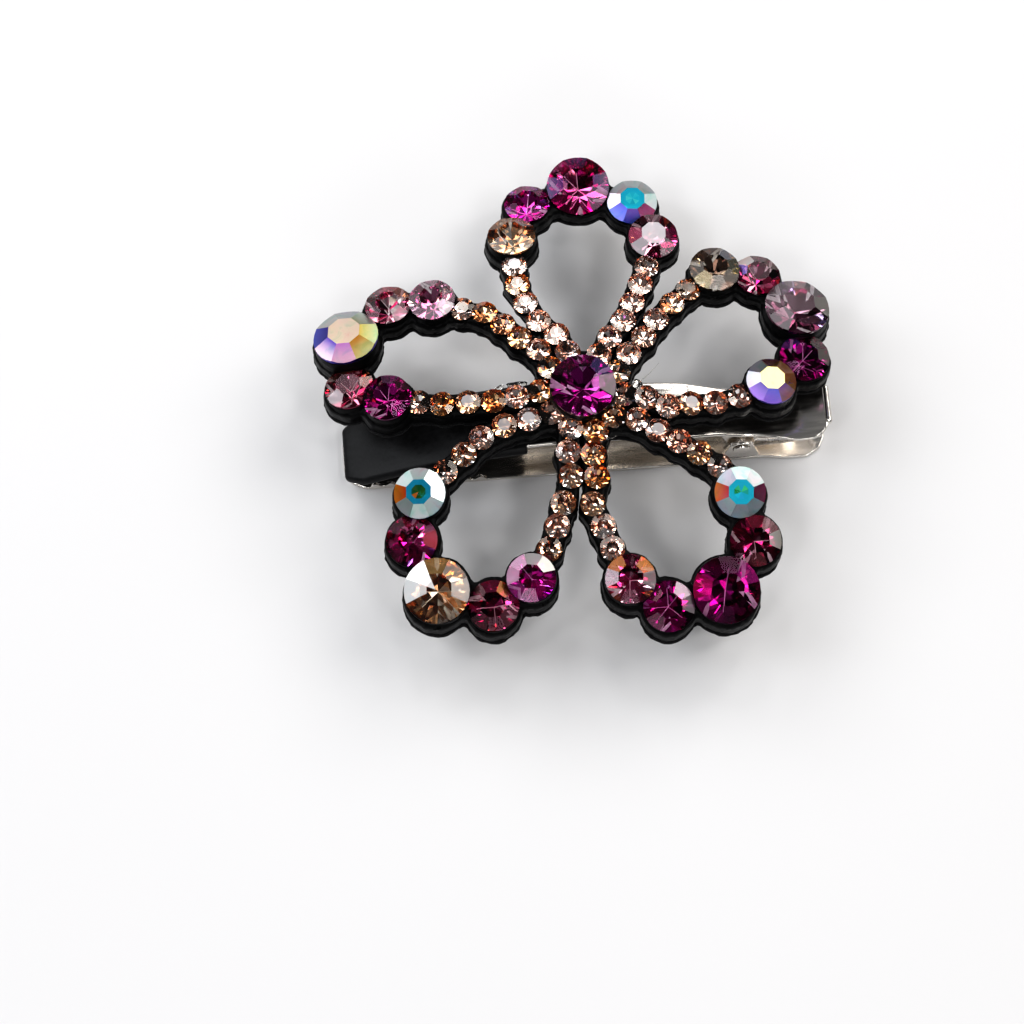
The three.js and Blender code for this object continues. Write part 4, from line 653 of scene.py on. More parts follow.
def sheet(name, sdf, box, top, thick, cell, edge, mat, side_rough=0.0, seed=0, pockets=True, base_of=None):
    """A closed curved sheet: its outline is where sdf = 0; top and bottom follow the flower's surface, with rounded edges."""
    xs = np.arange(box[0], box[1] + cell, cell)
    ys = np.arange(box[2], box[3] + cell, cell)
    X, Y = np.meshgrid(xs, ys, indexing="ij")
    S = sdf(X, Y)
    e = 0.02
    for _ in range(3):
        near = np.abs(S) < cell * 0.62
        gx = (sdf(X + e, Y) - sdf(X - e, Y)) / (2 * e)
        gy = (sdf(X, Y + e) - sdf(X, Y - e)) / (2 * e)
        L = np.maximum(gx * gx + gy * gy, 0.25)
        X = np.where(near, X - S * gx / L, X)
        Y = np.where(near, Y - S * gy / L, Y)
        S = np.where(near, sdf(X, Y), S)
        S = np.where(near & (np.abs(S) < 0.08), 0.0, S)
    inside = S <= 1e-6
    c00, c10, c11, c01 = inside[:-1, :-1], inside[1:, :-1], inside[1:, 1:], inside[:-1, 1:]
    count = c00.astype(int) + c10 + c11 + c01
    used = np.zeros(X.shape, bool)
    keep = count >= 3
    used[:-1, :-1] |= keep & c00
    used[1:, :-1] |= keep & c10
    used[1:, 1:] |= keep & c11
    used[:-1, 1:] |= keep & c01
    idx = -np.ones(X.shape, int)
    idx[used] = np.arange(used.sum())
    q = []
    for i, j in zip(*np.nonzero(keep)):
        ring = [(i, j), (i + 1, j), (i + 1, j + 1), (i, j + 1)]
        q.append([int(idx[k]) for k in ring if inside[k]])
    x, y, s = X[used], Y[used], S[used]
    N = len(x)
    E = {}
    for f in q:
        for a, b in zip(f, f[1:] + f[:1]):
            E[(a, b)] = True
    rim = [(a, b) for (a, b) in E if (b, a) not in E]
    rimv = sorted({v for e2 in rim for v in e2})
    offs = np.array(rimv)
    for _ in range(4):
        g1 = (sdf(x[offs] + e, y[offs]) - sdf(x[offs] - e, y[offs])) / (2 * e)
        g2 = (sdf(x[offs], y[offs] + e) - sdf(x[offs], y[offs] - e)) / (2 * e)
        sv = sdf(x[offs], y[offs])
        L = np.maximum(g1 * g1 + g2 * g2, 0.3)
        step = np.clip(sv / L, -0.12, 0.12)
        x[offs] -= step * g1
        y[offs] -= step * g2
    s = sdf(x, y)
    dd = np.clip(-s, 0, edge)
    fall = edge - np.sqrt(np.maximum(edge ** 2 - (edge - dd) ** 2, 0))
    base = surf(x, y) + top if base_of is None else base_of(x, y)
    onrim = np.zeros(N, bool)
    onrim[rimv] = True
    fall = np.where(onrim, edge, fall)
    grain = 0.02 * wobble(x, y, 5.0, seed + 5)
    zb = (surf(x, y) + top if base_of is None else np.full(x.shape, HUB_TOP)) - thick + fall * 0.6
    zt = base - fall + np.where(onrim, 0, grain)
    if pockets:
        zt = np.maximum(np.minimum(zt, pocket_floor(x, y)), zb + 0.08)
    verts = [np.stack([x, y, zt], 1), np.stack([x, y, zb], 1)]
    mids, row_of = [], []
    LV = 3
    pos = {v: i for i, v in enumerate(rimv)}
    gx = (sdf(x[offs] + e, y[offs]) - sdf(x[offs] - e, y[offs])) / (2 * e)
    gy = (sdf(x[offs], y[offs] + e) - sdf(x[offs], y[offs] - e)) / (2 * e)
    gl = np.maximum(np.hypot(gx, gy), 0.3)
    for k in range(1, LV + 1):
        t = k / (LV + 1)
        out = 0.02 + side_rough * wobble(x[offs] + 3.1 * k, y[offs] - 2.3 * k, 7.0, seed + 20 + k)
        out = np.clip(out, -0.05, 0.2)
        verts.append(np.stack([x[offs] + gx / gl * out, y[offs] + gy / gl * out, zt[offs] * (1 - t) + zb[offs] * t], 1))
    V = np.concatenate(verts)
    M = len(rimv)
    faces = [tuple(f) for f in q] + [tuple(v + N for v in reversed(f)) for f in q]
    lay = lambda k, v: v if k == 0 else (2 * N + (k - 1) * M + pos[v] if k <= LV else N + v)
    for a, b in rim:
        for k in range(LV + 1):
            faces.append((lay(k, b), lay(k, a), lay(k + 1, a), lay(k + 1, b)))
    me = bpy.data.meshes.new(name)
    me.from_pydata([tuple(p) for p in to_row(V)], [], [tuple(int(i) for i in f) for f in faces])
    me.materials.append(mat)
    me.validate()
    me.update()
    bm = bmesh.new()
    bm.from_mesh(me)
    bmesh.ops.recalc_face_normals(bm, faces=bm.faces)
    bm.to_mesh(me)
    bm.free()
    me.polygons.foreach_set("use_smooth", [True] * len(me.polygons))
    ob = bpy.data.objects.new(name, me)
    scene.collection.objects.link(ob)
    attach(ob, "upper_clip")
    return ob


# the felt is cut to the petal's outline and glued flat under the setting
for k, petal in enumerate(PETALS):
    f, discs = petal_sdf(petal, 0.0, 0.05, 31 + 7 * k)
    bx = (min(p[0] - p[2] for p in discs) - 0.6, max(p[0] + p[2] for p in discs) + 0.6, min(p[1] - p[2] for p in discs) - 0.6, max(p[1] + p[2] for p in discs) + 0.6)
    ob = sheet("setting_" + petal, f, bx, 0.0, SETTING_THICK, 0.3, 0.35, ENAMEL, 0.05, 40 + k)
    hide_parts("petal_" + petal)
    f2, _ = petal_sdf(petal, 0.08, 0.07, 131 + 7 * k)
    ob = sheet("backing_" + petal, f2, bx, -SETTING_THICK - 0.02, FELT_THICK + 0.1, 0.3, 0.2, FELT, 0.05, 60 + k, False)
    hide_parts("felt_" + petal)


def lathe_points(profile, n, seed=None, rough=0.0):
    rings = []
    rnd = np.random.RandomState(seed or 1)
    ph = rnd.uniform(0, 6.28, 3)
    for (r, z) in profile:
        ring = []
        for k in range(n):
            a = 2 * math.pi * k / n
            rr = r * (1 + rough * (math.sin(3 * a + ph[0]) + math.sin(5 * a + ph[1]) * 0.6 + math.sin(9 * a + ph[2]) * 0.4))
            ring.append((rr * math.cos(a), rr * math.sin(a), z))
        rings.append(ring)
    return rings


# black cups round the stones, one piece for each group of stones
def cups(name, members, n):
    V, F = [], []
    for j, (x, y, z, axis, d, pav) in members:
        r = d / 2
        s = min(1.0, d / 6)
        P = pav * d
        prof = [(r * 0.72, -0.28 * P * 1.12 - 0.12), (r * 0.93, -0.07 * P * 1.1 - 0.05), (r * 0.985, -0.015 * P - 0.05), (r + 0.005, -0.12), (r + 0.02 * s, -0.25), (r + 0.08 * s, -0.6 * s - 0.2), (r + 0.12 * s, -1.5 * s - 0.3)]
        rings = lathe_points(prof, n, 900 + j, 0.006)
        rot = np.array(Vector((0, 0, 1)).rotation_difference(axis).to_matrix())
        b = len(V)
        for ring in rings:
            V += [tuple(np.array(p) @ rot.T + np.array((x, y, z))) for p in ring]
        m = len(rings)
        for k in range(m):
            for i in range(n):
                a0, a1 = b + k * n + i, b + k * n + (i + 1) % n
                c0, c1 = b + ((k + 1) % m) * n + i, b + ((k + 1) % m) * n + (i + 1) % n
                F.append((a0, c0, c1, a1))
    me = bpy.data.meshes.new(name)
    me.from_pydata([tuple(p) for p in to_row(V)], [], F)
    me.materials.append(ENAMEL)
    bm = bmesh.new()
    bm.from_mesh(me)
    bmesh.ops.recalc_face_normals(bm, faces=bm.faces)
    bm.to_mesh(me)
    bm.free()
    me.polygons.foreach_set("use_smooth", [True] * len(me.polygons))
    ob = bpy.data.objects.new(name, me)
    scene.collection.objects.link(ob)
    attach(ob, "upper_clip")
    return ob


groups = {}
for j, (name, x, y, z, nx, ny, d) in enumerate(BIG):
    groups.setdefault(name.rsplit("_", 1)[0].replace("stone_", "") if name != "stone_centre" else "hub", []).append((j, STONES[j]))
for j in range(len(BIG), len(STONES)):
    row = (j - len(BIG)) // 6
    petal = next(p for p, rs in PETALS.items() if ROWS[row][1] in rs)
    groups[petal].append((j, STONES[j]))
for g, members in groups.items():
    cups("cups_" + g, members, 32)


# ------------------------------------------------------------------ hub
def finish_mesh(name, V, F, mats, body, smooth=True, recalc=True, rows=to_row):
    me = bpy.data.meshes.new(name)
    me.from_pydata([tuple(p) for p in rows(V)], [], F)
    for m in mats:
        me.materials.append(m)
    if recalc:
        bm = bmesh.new()
        bm.from_mesh(me)
        bmesh.ops.recalc_face_normals(bm, faces=bm.faces)
        bm.to_mesh(me)
        bm.free()
    me.polygons.foreach_set("use_smooth", [smooth] * len(me.polygons))
    ob = bpy.data.objects.new(name, me)
    scene.collection.objects.link(ob)
    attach(ob, body)
    return ob


def lathe(profile, n, rough=0.0, seed=1, centre=(0, 0, 0)):
    """Closed solid from a profile that starts and ends on the axis."""
    V, F = [], []
    rnd = np.random.RandomState(seed)
    ph = rnd.uniform(0, 6.28, 4)
    ids = []
    for (r, z) in profile:
        if r < 1e-6:
            ids.append([len(V)])
            V.append((centre[0], centre[1], centre[2] + z))
            continue
        row = []
        for k in range(n):
            a = 2 * math.pi * k / n
            q = 1 + rough * (math.sin(2 * a + ph[0]) + math.sin(3 * a + ph[1]) * 0.8 + math.sin(7 * a + ph[2]) * 0.35 + math.sin(13 * a + ph[3]) * 0.2)
            row.append(len(V))
            V.append((centre[0] + r * q * math.cos(a), centre[1] + r * q * math.sin(a), centre[2] + z))
        ids.append(row)
    for a, b in zip(ids, ids[1:]):
        for k in range(n):
            k2 = (k + 1) % n
            if len(a) == 1 and len(b) == 1:
                continue
            if len(a) == 1:
                F.append((a[0], b[k], b[k2]))
            elif len(b) == 1:
                F.append((a[k], b[0], a[k2]))
            else:
                F.append((a[k], b[k], b[k2], a[k2]))
    return V, F


def hub_top(x, y):
    q = np.hypot(x, y)
    t = np.clip((3.75 - q) / 0.45, 0, 1)
    return HUB_TOP + (15.5 - HUB_TOP) * t * t * (3 - 2 * t)


hub = sheet("setting_hub", lambda X, Y: np.hypot(X, Y) - HUB_R - 0.03 * wobble(X, Y, 1.5, 77), (-6.2, 6.2, -6.2, 6.2), 0.0, HUB_TOP - HUB_BOTTOM, 0.2, 0.3, ENAMEL, 0.04, 78, True, hub_top)
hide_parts("hub")


# ------------------------------------------------------------------ clip
def metal(name, base, rough_lo, rough_hi, stretch=(1, 1, 1), grain=900):
    m, nt, out = node_material(name)
    tc = nt.nodes.new("ShaderNodeTexCoord")
    mp = nt.nodes.new("ShaderNodeMapping")
    mp.inputs["Scale"].default_value = stretch
    nt.links.new(tc.outputs["Object"], mp.inputs["Vector"])
    n1 = nt.nodes.new("ShaderNodeTexNoise")
    n1.inputs["Scale"].default_value = grain
    n1.inputs["Detail"].default_value = 4
    nt.links.new(mp.outputs["Vector"], n1.inputs["Vector"])
    n2 = noise_node(nt, 110, 3)
    c = ramp(nt, n2.outputs["Fac"], [(0.3, tuple(x * 0.86 for x in base)), (0.7, base)])
    b = principled(nt, **{"Metallic": 1.0, "Roughness": rough_lo})
    nt.links.new(c.outputs["Color"], b.inputs["Base Color"])
    nt.links.new(map_range(nt, n1.outputs["Fac"], rough_lo, rough_hi, 0.3, 0.7), b.inputs["Roughness"])
    nt.links.new(bump(nt, n1.outputs["Fac"], 0.08, 0.0001), b.inputs["Normal"])
    nt.links.new(b.outputs[0], out.inputs["Surface"])
    return m


STEEL = metal("polished_steel", (0.80, 0.76, 0.71), 0.10, 0.24, (0.25, 3, 1))
WIRE = metal("spring_wire", (0.62, 0.60, 0.58), 0.18, 0.34)


def rubber():
    m, nt, out = node_material("black_rubber")
    n = noise_node(nt, 1500, 4, 0.6)
    c = ramp(nt, n.outputs["Fac"], [(0.3, (0.004, 0.004, 0.0045)), (0.7, (0.011, 0.011, 0.012))])
    b = principled(nt, **{"Roughness": 0.4, "Specular IOR Level": 0.16})
    nt.links.new(c.outputs["Color"], b.inputs["Base Color"])
    nt.links.new(map_range(nt, n.outputs["Fac"], 0.3, 0.5), b.inputs["Roughness"])
    nt.links.new(bump(nt, n.outputs["Fac"], 0.25, 0.0001), b.inputs["Normal"])
    nt.links.new(b.outputs[0], out.inputs["Surface"])
    return m


def glue(name, colour, transmission):
    m, nt, out = node_material(name)
    n = noise_node(nt, 500, 3)
    c = ramp(nt, n.outputs["Fac"], [(0.3, tuple(x * 0.9 for x in colour)), (0.7, colour)])
    b = principled(nt, **{"Roughness": 0.12, "IOR": 1.46, "Transmission Weight": transmission})
    nt.links.new(c.outputs["Color"], b.inputs["Base Color"])
    nt.links.new(map_range(nt, n.outputs["Fac"], 0.06, 0.22), b.inputs["Roughness"])
    nt.links.new(b.outputs[0], out.inputs["Surface"])
    return m


RUBBER, PADGLUE = rubber(), glue("hot_glue", (0.84, 0.80, 0.71), 0.35)
CY = -1.2
HX, HZ = 20.0, 3.6


def arch(x):
    return 9.8 - 0.0092 * x * x


def ring_loft(V, F, rings, cap=True):
    b = len(V)
    n = len(rings[0])
    for r in rings:
        V += [tuple(p) for p in r]
    for k in range(len(rings) - 1):
        for i in range(n):
            a, c = b + k * n + i, b + k * n + (i + 1) % n
            F.append((a, c, c + n, a + n))
    if cap:
        F.append(tuple(b + i for i in reversed(range(n))))
        F.append(tuple(b + (len(rings) - 1) * n + i for i in range(n)))


def dumbbell(w, rb, t, n=7):
    """Cross-section of the upper strip: a flat middle of thickness t with a round bead of radius rb centred at +-w."""
    h = t / 2
    p0 = math.asin(min(1.0, h / rb))
    out = []
    for i in range(n + 1):
        a = -(math.pi - p0) + 2 * (math.pi - p0) * i / n
        out.append((w + rb * math.cos(a), rb * math.sin(a)))
    for k in (0.6, 0.2, -0.2, -0.6):
        out.append((w * k, h))
    for i in range(n + 1):
        a = p0 + 2 * (math.pi - p0) * i / n
        out.append((-w + rb * math.cos(a), rb * math.sin(a)))
    for k in (-0.6, -0.2, 0.2, 0.6):
        out.append((w * k, -h))
    return out


def path_frames(path):
    out = []
    for i in range(len(path)):
        a, b = path[max(0, i - 1)], path[min(len(path) - 1, i + 1)]
        dx, dz = b[0] - a[0], b[1] - a[1]
        L = math.hypot(dx, dz)
        out.append((-dz / L, dx / L))
    return out


def smoothstep(a, b, x):
    t = min(1.0, max(0.0, (x - a) / (b - a)))
    return t * t * (3 - 2 * t)


def lerp_table(tab, x):
    for (x0, v0), (x1, v1) in zip(tab, tab[1:]):
        if x <= x1:
            t = max(0.0, (x - x0) / (x1 - x0))
            return v0 + (v1 - v0) * t
    return tab[-1][1]


def upper_z(x):
    if x < 17:
        return arch(x)
    return lerp_table([(17, arch(17)), (18.5, 6.62), (20, 6.2), (21, 6.08), (22, 6.05), (23, 6.06), (24, 6.12), (25.5, 6.27), (27, 6.45), (29, 6.72), (30.4, 6.9), (31, 6.98)], x)


V, F = [], []
xs = list(np.arange(-29.4, 31.01, 0.55)) + [31.0]
path = [(x, upper_z(x)) for x in xs]
rings = []
for (x, z), (nx_, nz_) in zip(path, path_frames(path)):
    w = lerp_table([(-29.4, 2.5), (-28.9, 2.95), (-28.0, 3.25), (-26.4, 3.45), (13, 3.45), (17, 3.0), (22, 3.0), (24, 3.4), (26.2, 4.0), (27, 4.15), (29, 4.15), (30.2, 3.6), (31, 2.4)], x)
    rb = 0.25 + 0.125 * (smoothstep(-29, -27.8, x) - smoothstep(12.2, 13.6, x))
    rings.append([(x + nx_ * q, CY + y, z + nz_ * q) for (y, q) in dumbbell(w, rb, 0.5)])
ring_loft(V, F, rings)
jaw = finish_mesh("jaw_upper", V, F, [STEEL], "upper_clip", rows=clip_row)
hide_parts("upper_jaw")


def outline_plate(name, pts, lo, hi, axis, edge, mat, body, hole=None, seg=3):
    """A plate with rounded edges cut from a closed outline. axis 'z': points are (x, y), 'y': points are (x, z)."""
    bm = bmesh.new()
    put = (lambda p, h: (p[0], p[1], h)) if axis == "z" else (lambda p, h: (p[0], h, p[1]))
    loops = [pts] + ([hole] if hole else [])
    rows_v = []
    for loop in loops:
        lowv = [bm.verts.new(put(p, lo)) for p in loop]
        hiv = [bm.verts.new(put(p, hi)) for p in loop]
        rows_v.append((lowv, hiv))
        for i in range(len(loop)):
            j = (i + 1) % len(loop)
            bm.faces.new((lowv[i], lowv[j], hiv[j], hiv[i]))
    for side in (0, 1):
        edges = []
        for lv in rows_v:
            vs = lv[side]
            for i in range(len(vs)):
                e = bm.edges.get((vs[i], vs[(i + 1) % len(vs)]))
                edges.append(e)
        bmesh.ops.triangle_fill(bm, use_beauty=True, use_dissolve=True, edges=edges)
    bmesh.ops.recalc_face_normals(bm, faces=bm.faces)
    be = [e for e in bm.edges if len(e.link_faces) == 2 and e.calc_face_angle() > 1.2 and abs(e.verts[0].co[2 if axis == "z" else 1] - e.verts[1].co[2 if axis == "z" else 1]) < 1e-6]
    bmesh.ops.bevel(bm, geom=be, offset=edge, segments=seg, profile=0.5, affect="EDGES")
    bmesh.ops.triangulate(bm, faces=[f for f in bm.faces if len(f.verts) > 4])
    for v in bm.verts:
        v.co = Vector(clip_row([v.co])[0])
    me = bpy.data.meshes.new(name)
    bm.to_mesh(me)
    bm.free()
    me.materials.append(mat)
    me.polygons.foreach_set("use_smooth", [True] * len(me.polygons))
    me.set_sharp_from_angle(angle=math.radians(50))
    ob = bpy.data.objects.new(name, me)
    scene.collection.objects.link(ob)
    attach(ob, body)
    return ob


def rounded(points, r, n=5):
    """Outline with every corner rounded to about r."""
    out = []
    m = len(points)
    for i in range(m):
        p, a, b = Vector(points[i]), Vector(points[i - 1]), Vector(points[(i + 1) % m])
        da, db = (a - p), (b - p)
        la, lb = da.length, db.length
        da.normalize(); db.normalize()
        ang = math.acos(max(-1, min(1, da.dot(db))))
        if ang > math.radians(176):
            out.append(tuple(p))
            continue
        c = min(r / math.tan(ang / 2), la * 0.45, lb * 0.45)
        s, e = p + da * c, p + db * c
        for k in range(n + 1):
            t = k / n
            q = s * (1 - t) ** 2 + p * 2 * t * (1 - t) + e * t * t
            out.append((q.x, q.y))
    return out


def ear(top, half, z):
    pts = [(HX - half, z)]
    for i in range(17):
        a = math.pi + math.pi * i / 16
        pts.append((HX + 1.7 * math.cos(a), HZ + (1 if top else -1) * 1.7 * math.sin(a)))
    pts.append((HX + half, z))
    return pts if top else pts


def circle(cx, cz, r, n=24):
    return [(cx + r * math.cos(2 * math.pi * i / n), cz + r * math.sin(2 * math.pi * i / n)) for i in range(n)]


for side in (-1, 1):
    y = (2.5, 3.0) if side > 0 else (-3.0, -2.5)
    o = outline_plate("ear_upper_%s" % ("near" if side < 0 else "far"), ear(True, 2.6, 6.1), CY + y[0], CY + y[1], "y", 0.08, STEEL, "upper_clip", circle(HX, HZ, 0.64))
    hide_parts("upper_jaw")
    y = (3.35, 3.85) if side > 0 else (-3.85, -3.35)
    o = outline_plate("ear_lower_%s" % ("near" if side < 0 else "far"), ear(False, 2.6, 0.45), CY + y[0], CY + y[1], "y", 0.08, STEEL, "lower_clip", circle(HX, HZ, 0.64))
    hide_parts("lower_jaw")
    t = (3.85, 4.28) if side > 0 else (-4.28, -3.85)
    teeth = [(-27.5, 0.3)]
    for i in range(8):
        x = -27.5 + i * 1.9
        teeth += [(x + 0.3, 0.8), (x + 0.75, 1.33), (x + 0.95, 1.45), (x + 1.15, 1.33), (x + 1.6, 0.8)]
    teeth.append((-27.5 + 15.2, 0.3))
    o = outline_plate("teeth_%s" % ("near" if side < 0 else "far"), teeth, CY + t[0], CY + t[1], "y", 0.07, STEEL, "lower_clip", None, 2)
    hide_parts("lower_jaw")

LH = 4.3
low = [(-27.9, -LH), (15.5, -LH), (17.2, -3.95), (23, -3.95), (25.5, -LH), (28.6, -LH), (30.2, -3.4), (31, -1.8), (31, 1.8), (30.2, 3.4), (28.6, LH), (25.5, LH), (23, 3.95), (17.2, 3.95), (15.5, LH), (-27.9, LH), (-29.7, 3.4), (-30.5, 1.8), (-30.5, -1.8), (-29.7, -3.4)]
o = outline_plate("jaw_lower", rounded([(x, y + CY) for x, y in low], 1.2), 0.0, 0.6, "z", 0.14, STEEL, "lower_clip")
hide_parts("lower_jaw")

# rolled lip at the end of the thumb tab
V, F = [], []
rings = []
for k in range(25):
    y = -2.6 + 5.2 * k / 24
    r = 0.45 * math.sqrt(max(0.04, 1 - (max(0, abs(y) - 2.3) / 0.32) ** 2))
    rings.append([(31 + r * math.cos(a), CY + y, 7.0 + r * math.sin(a)) for a in np.linspace(0, 2 * math.pi, 20, endpoint=False)])
ring_loft(V, F, rings)
o = finish_mesh("jaw_upper_lip", V, F, [STEEL], "upper_clip", rows=clip_row)
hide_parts("upper_jaw")

# hinge pin with domed, riveted heads
prof = [(0, -4.27), (0.5, -4.25), (0.9, -4.2), (1.1, -4.1), (1.15, -3.98), (1.1, -3.9), (0.6, -3.89), (0.6, 3.89), (1.1, 3.9), (1.15, 3.98), (1.1, 4.1), (0.9, 4.2), (0.5, 4.25), (0, 4.27)]
V, F = lathe(prof, 36)
V = [(HX + x, CY + z, HZ + y) for (x, y, z) in V]
o = finish_mesh("pin", V, F, [STEEL], "lower_clip", rows=clip_row)
o.data.set_sharp_from_angle(angle=math.radians(40))
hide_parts("hinge_pin")


# torsion spring
def coil_point(s):
    a = -math.pi / 2 - s * 2 * math.pi * 5.5
    return Vector((HX + 1.55 * math.cos(a), CY - 1.95 + 3.9 * s, HZ + 1.55 * math.sin(a)))


def tube(points, r, n=12):
    rings = []
    for i, p in enumerate(points):
        a, b = points[max(0, i - 1)], points[min(len(points) - 1, i + 1)]
        t = (b - a).normalized()
        y = Vector((0, 1, 0))
        y = (y - t * t.y).normalized()
        nn = t.cross(y)
        end = min(i, len(points) - 1 - i)
        rr = r * (0.55 if end == 0 else 1.0)
        rings.append([tuple(p + nn * rr * math.cos(g) - y * rr * math.sin(g)) for g in np.linspace(0, 2 * math.pi, n, endpoint=False)])
    V, F = [], []
    ring_loft(V, F, rings)
    return V, F


leg_end = Vector((27.2, CY - 1.95, 0.97))
pts = [leg_end, leg_end + (coil_point(0) - leg_end).normalized() * 0.15] + [leg_end.lerp(coil_point(0), k / 8) for k in range(1, 8)]
pts += [coil_point(k / 176) for k in range(0, 177)]
V, F = tube(pts, 0.245)
o = finish_mesh("spring_coil", V, F, [WIRE], "lower_clip", rows=clip_row)
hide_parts("torsion_spring")
up_end = Vector((27.2, CY + 1.95, 5.79))
pts = [coil_point(1 - (1 - k / 12) * 0.125 / 5.5) for k in range(0, 13)] + [coil_point(1).lerp(up_end, k / 8) for k in range(1, 9)]
V, F = tube(pts, 0.25)
o = finish_mesh("spring_upper_leg", V, F, [WIRE], "upper_clip", rows=clip_row)
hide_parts("torsion_spring")


# rubber sleeve
def stadium(half, r, n=10):
    out = []
    for i in range(n + 1):
        a = -math.pi / 2 + math.pi * i / n
        out.append((half - r + r * math.cos(a), r * math.sin(a)))
    for k in (0.6, 0.2, -0.2, -0.6):
        out.append(((half - r) * k, r))
    for i in range(n + 1):
        a = math.pi / 2 + math.pi * i / n
        out.append((-half + r + r * math.cos(a), r * math.sin(a)))
    for k in (-0.6, -0.2, 0.2, 0.6):
        out.append(((half - r) * k, -r))
    return out


outer, inner = [], []
n0, n1 = -30.2, -7.3
xs = [n0, n0 + 0.05, n0 + 0.15, n0 + 0.35, n0 + 0.7] + list(np.linspace(n0 + 1.2, n1 - 0.3, 40)) + [n1 - 0.12, n1 - 0.03, n1]
sizes = [0.5, 0.66, 0.82, 0.94, 1.0] + [1.0] * 40 + [0.99, 0.965, 0.93]
path = [(x, arch(x)) for x in xs]
fr = path_frames(path)
ring_sets = []
for (x, z), (nx_, nz_), s in zip(path, fr, sizes):
    sec = stadium(4.58 - (1 - s) * 0.6 - max(0, (n0 + 2.2 - x)) * 0.45, 0.75 * s)
    ring_sets.append([(x + nx_ * q, CY + y, z + nz_ * q) for (y, q) in sec])
x0 = n1
for x, s in ((n1, 0.72), (n1 - 0.3, 0.68), (n1 - 5, 0.67), (n1 - 21, 0.67)):
    a = -2 * 0.0092 * x
    L = math.hypot(1, a)
    sec = stadium(4.58 - 0.22, 0.75 * s)
    if x < -27:
        sec = stadium(3.4, 0.75 * s)
    ring_sets.append([(x - a / L * q, CY + y, arch(x) + q / L) for (y, q) in sec])
V, F = [], []
ring_loft(V, F, ring_sets)
o = finish_mesh("sleeve", V, F, [RUBBER], "upper_clip", rows=clip_row)
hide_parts("rubber_sleeve")

# mounting disc and glue under the flower
V, F = lathe([(0, 10.15), (5.25, 10.15), (5.36, 10.2), (5.4, 10.3), (5.4, 10.6), (5.36, 10.7), (5.25, 10.75), (0, 10.75)], 96)
o = finish_mesh("disc", V, F, [STEEL], "upper_clip", rows=clip_row)
o.data.set_sharp_from_angle(angle=math.radians(40))
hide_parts("mounting_disc")
V, F = lathe([(0, 10.78), (4.5, 10.79), (4.72, 10.86), (4.8, 11.0), (4.65, 11.2), (4.55, 11.45), (4.68, 11.68), (4.8, 11.82), (0, 11.84)], 96, 0.02, 8)
o = finish_mesh("glue", V, F, [PADGLUE], "upper_clip", rows=clip_row)
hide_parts("glue_pad")


# clear glue squeezed out beside the stones, with two drawn threads
def clear_glue():
    m, nt, out = node_material("clear_glue")
    n = noise_node(nt, 700, 3)
    c = ramp(nt, n.outputs["Fac"], [(0.3, (0.93, 0.90, 0.84)), (0.7, (0.99, 0.98, 0.96))])
    b = principled(nt, **{"Roughness": 0.06, "IOR": 1.46, "Transmission Weight": 1.0})
    nt.links.new(c.outputs["Color"], b.inputs["Base Color"])
    nt.links.new(bump(nt, n.outputs["Fac"], 0.5, 0.0003), b.inputs["Normal"])
    nt.links.new(b.outputs[0], out.inputs["Surface"])
    return m


CLEAR = clear_glue()


def blob(name, x, y, size, rot, seed, lift=0.0):
    rnd = np.random.RandomState(seed)
    ph = rnd.uniform(0, 6.28, 6)
    nu, nv = 28, 14
    V, F = [(0.0, 0.0, 1.0)], []
    for j in range(1, nv):
        t = math.pi * j / nv
        for i in range(nu):
            a = 2 * math.pi * i / nu
            k = 1 + 0.16 * math.sin(2 * a + ph[0]) * math.sin(t) + 0.12 * math.sin(3 * a + ph[1]) * math.sin(t) + 0.08 * math.sin(5 * a + 3 * t + ph[2]) * math.sin(t) + 0.06 * math.sin(4 * t + 2 * a + ph[3]) * math.sin(t)
            V.append((k * math.sin(t) * math.cos(a), k * math.sin(t) * math.sin(a), k * math.cos(t)))
    V.append((0.0, 0.0, -1.0))
    for i in range(nu):
        F.append((0, 1 + i, 1 + (i + 1) % nu))
        for j in range(nv - 2):
            p, q = 1 + j * nu, 1 + (j + 1) * nu
            F.append((p + i, q + i, q + (i + 1) % nu, p + (i + 1) % nu))
        F.append((len(V) - 1, 1 + (nv - 2) * nu + (i + 1) % nu, 1 + (nv - 2) * nu + i))
    ca, sa = math.cos(rot), math.sin(rot)
    V = [(x + ca * px * size[0] - sa * py * size[1], y + sa * px * size[0] + ca * py * size[1], surf(x, y) + lift + pz * size[2]) for px, py, pz in V]
    return finish_mesh(name, V, F, [CLEAR], "upper_clip")


def thread(name, path, radius):
    n = 24
    pts = []
    for k in range(n + 1):
        t = k / n
        a, b, c = (Vector(q) for q in path)
        pts.append(a * (1 - t) ** 2 + b * 2 * t * (1 - t) + c * t * t)
    V, F = [], []
    for k, p in enumerate(pts):
        d = (pts[min(k + 1, n)] - pts[max(k - 1, 0)]).normalized()
        u = d.cross(Vector((0, 0, 1))).normalized()
        w = d.cross(u)
        r = radius * (1 - 0.55 * k / n) * (1 + 0.25 * math.sin(k * 1.9))
        for i in range(8):
            a = i * math.pi / 4
            V.append(tuple(p + u * (r * math.cos(a)) + w * (r * math.sin(a))))
    for k in range(n):
        for i in range(8):
            F.append((k * 8 + i, k * 8 + (i + 1) % 8, (k + 1) * 8 + (i + 1) % 8, (k + 1) * 8 + i))
    F.append(tuple(range(8)))
    F.append(tuple(n * 8 + i for i in range(8))[::-1])
    return finish_mesh(name, V, F, [CLEAR], "upper_clip")


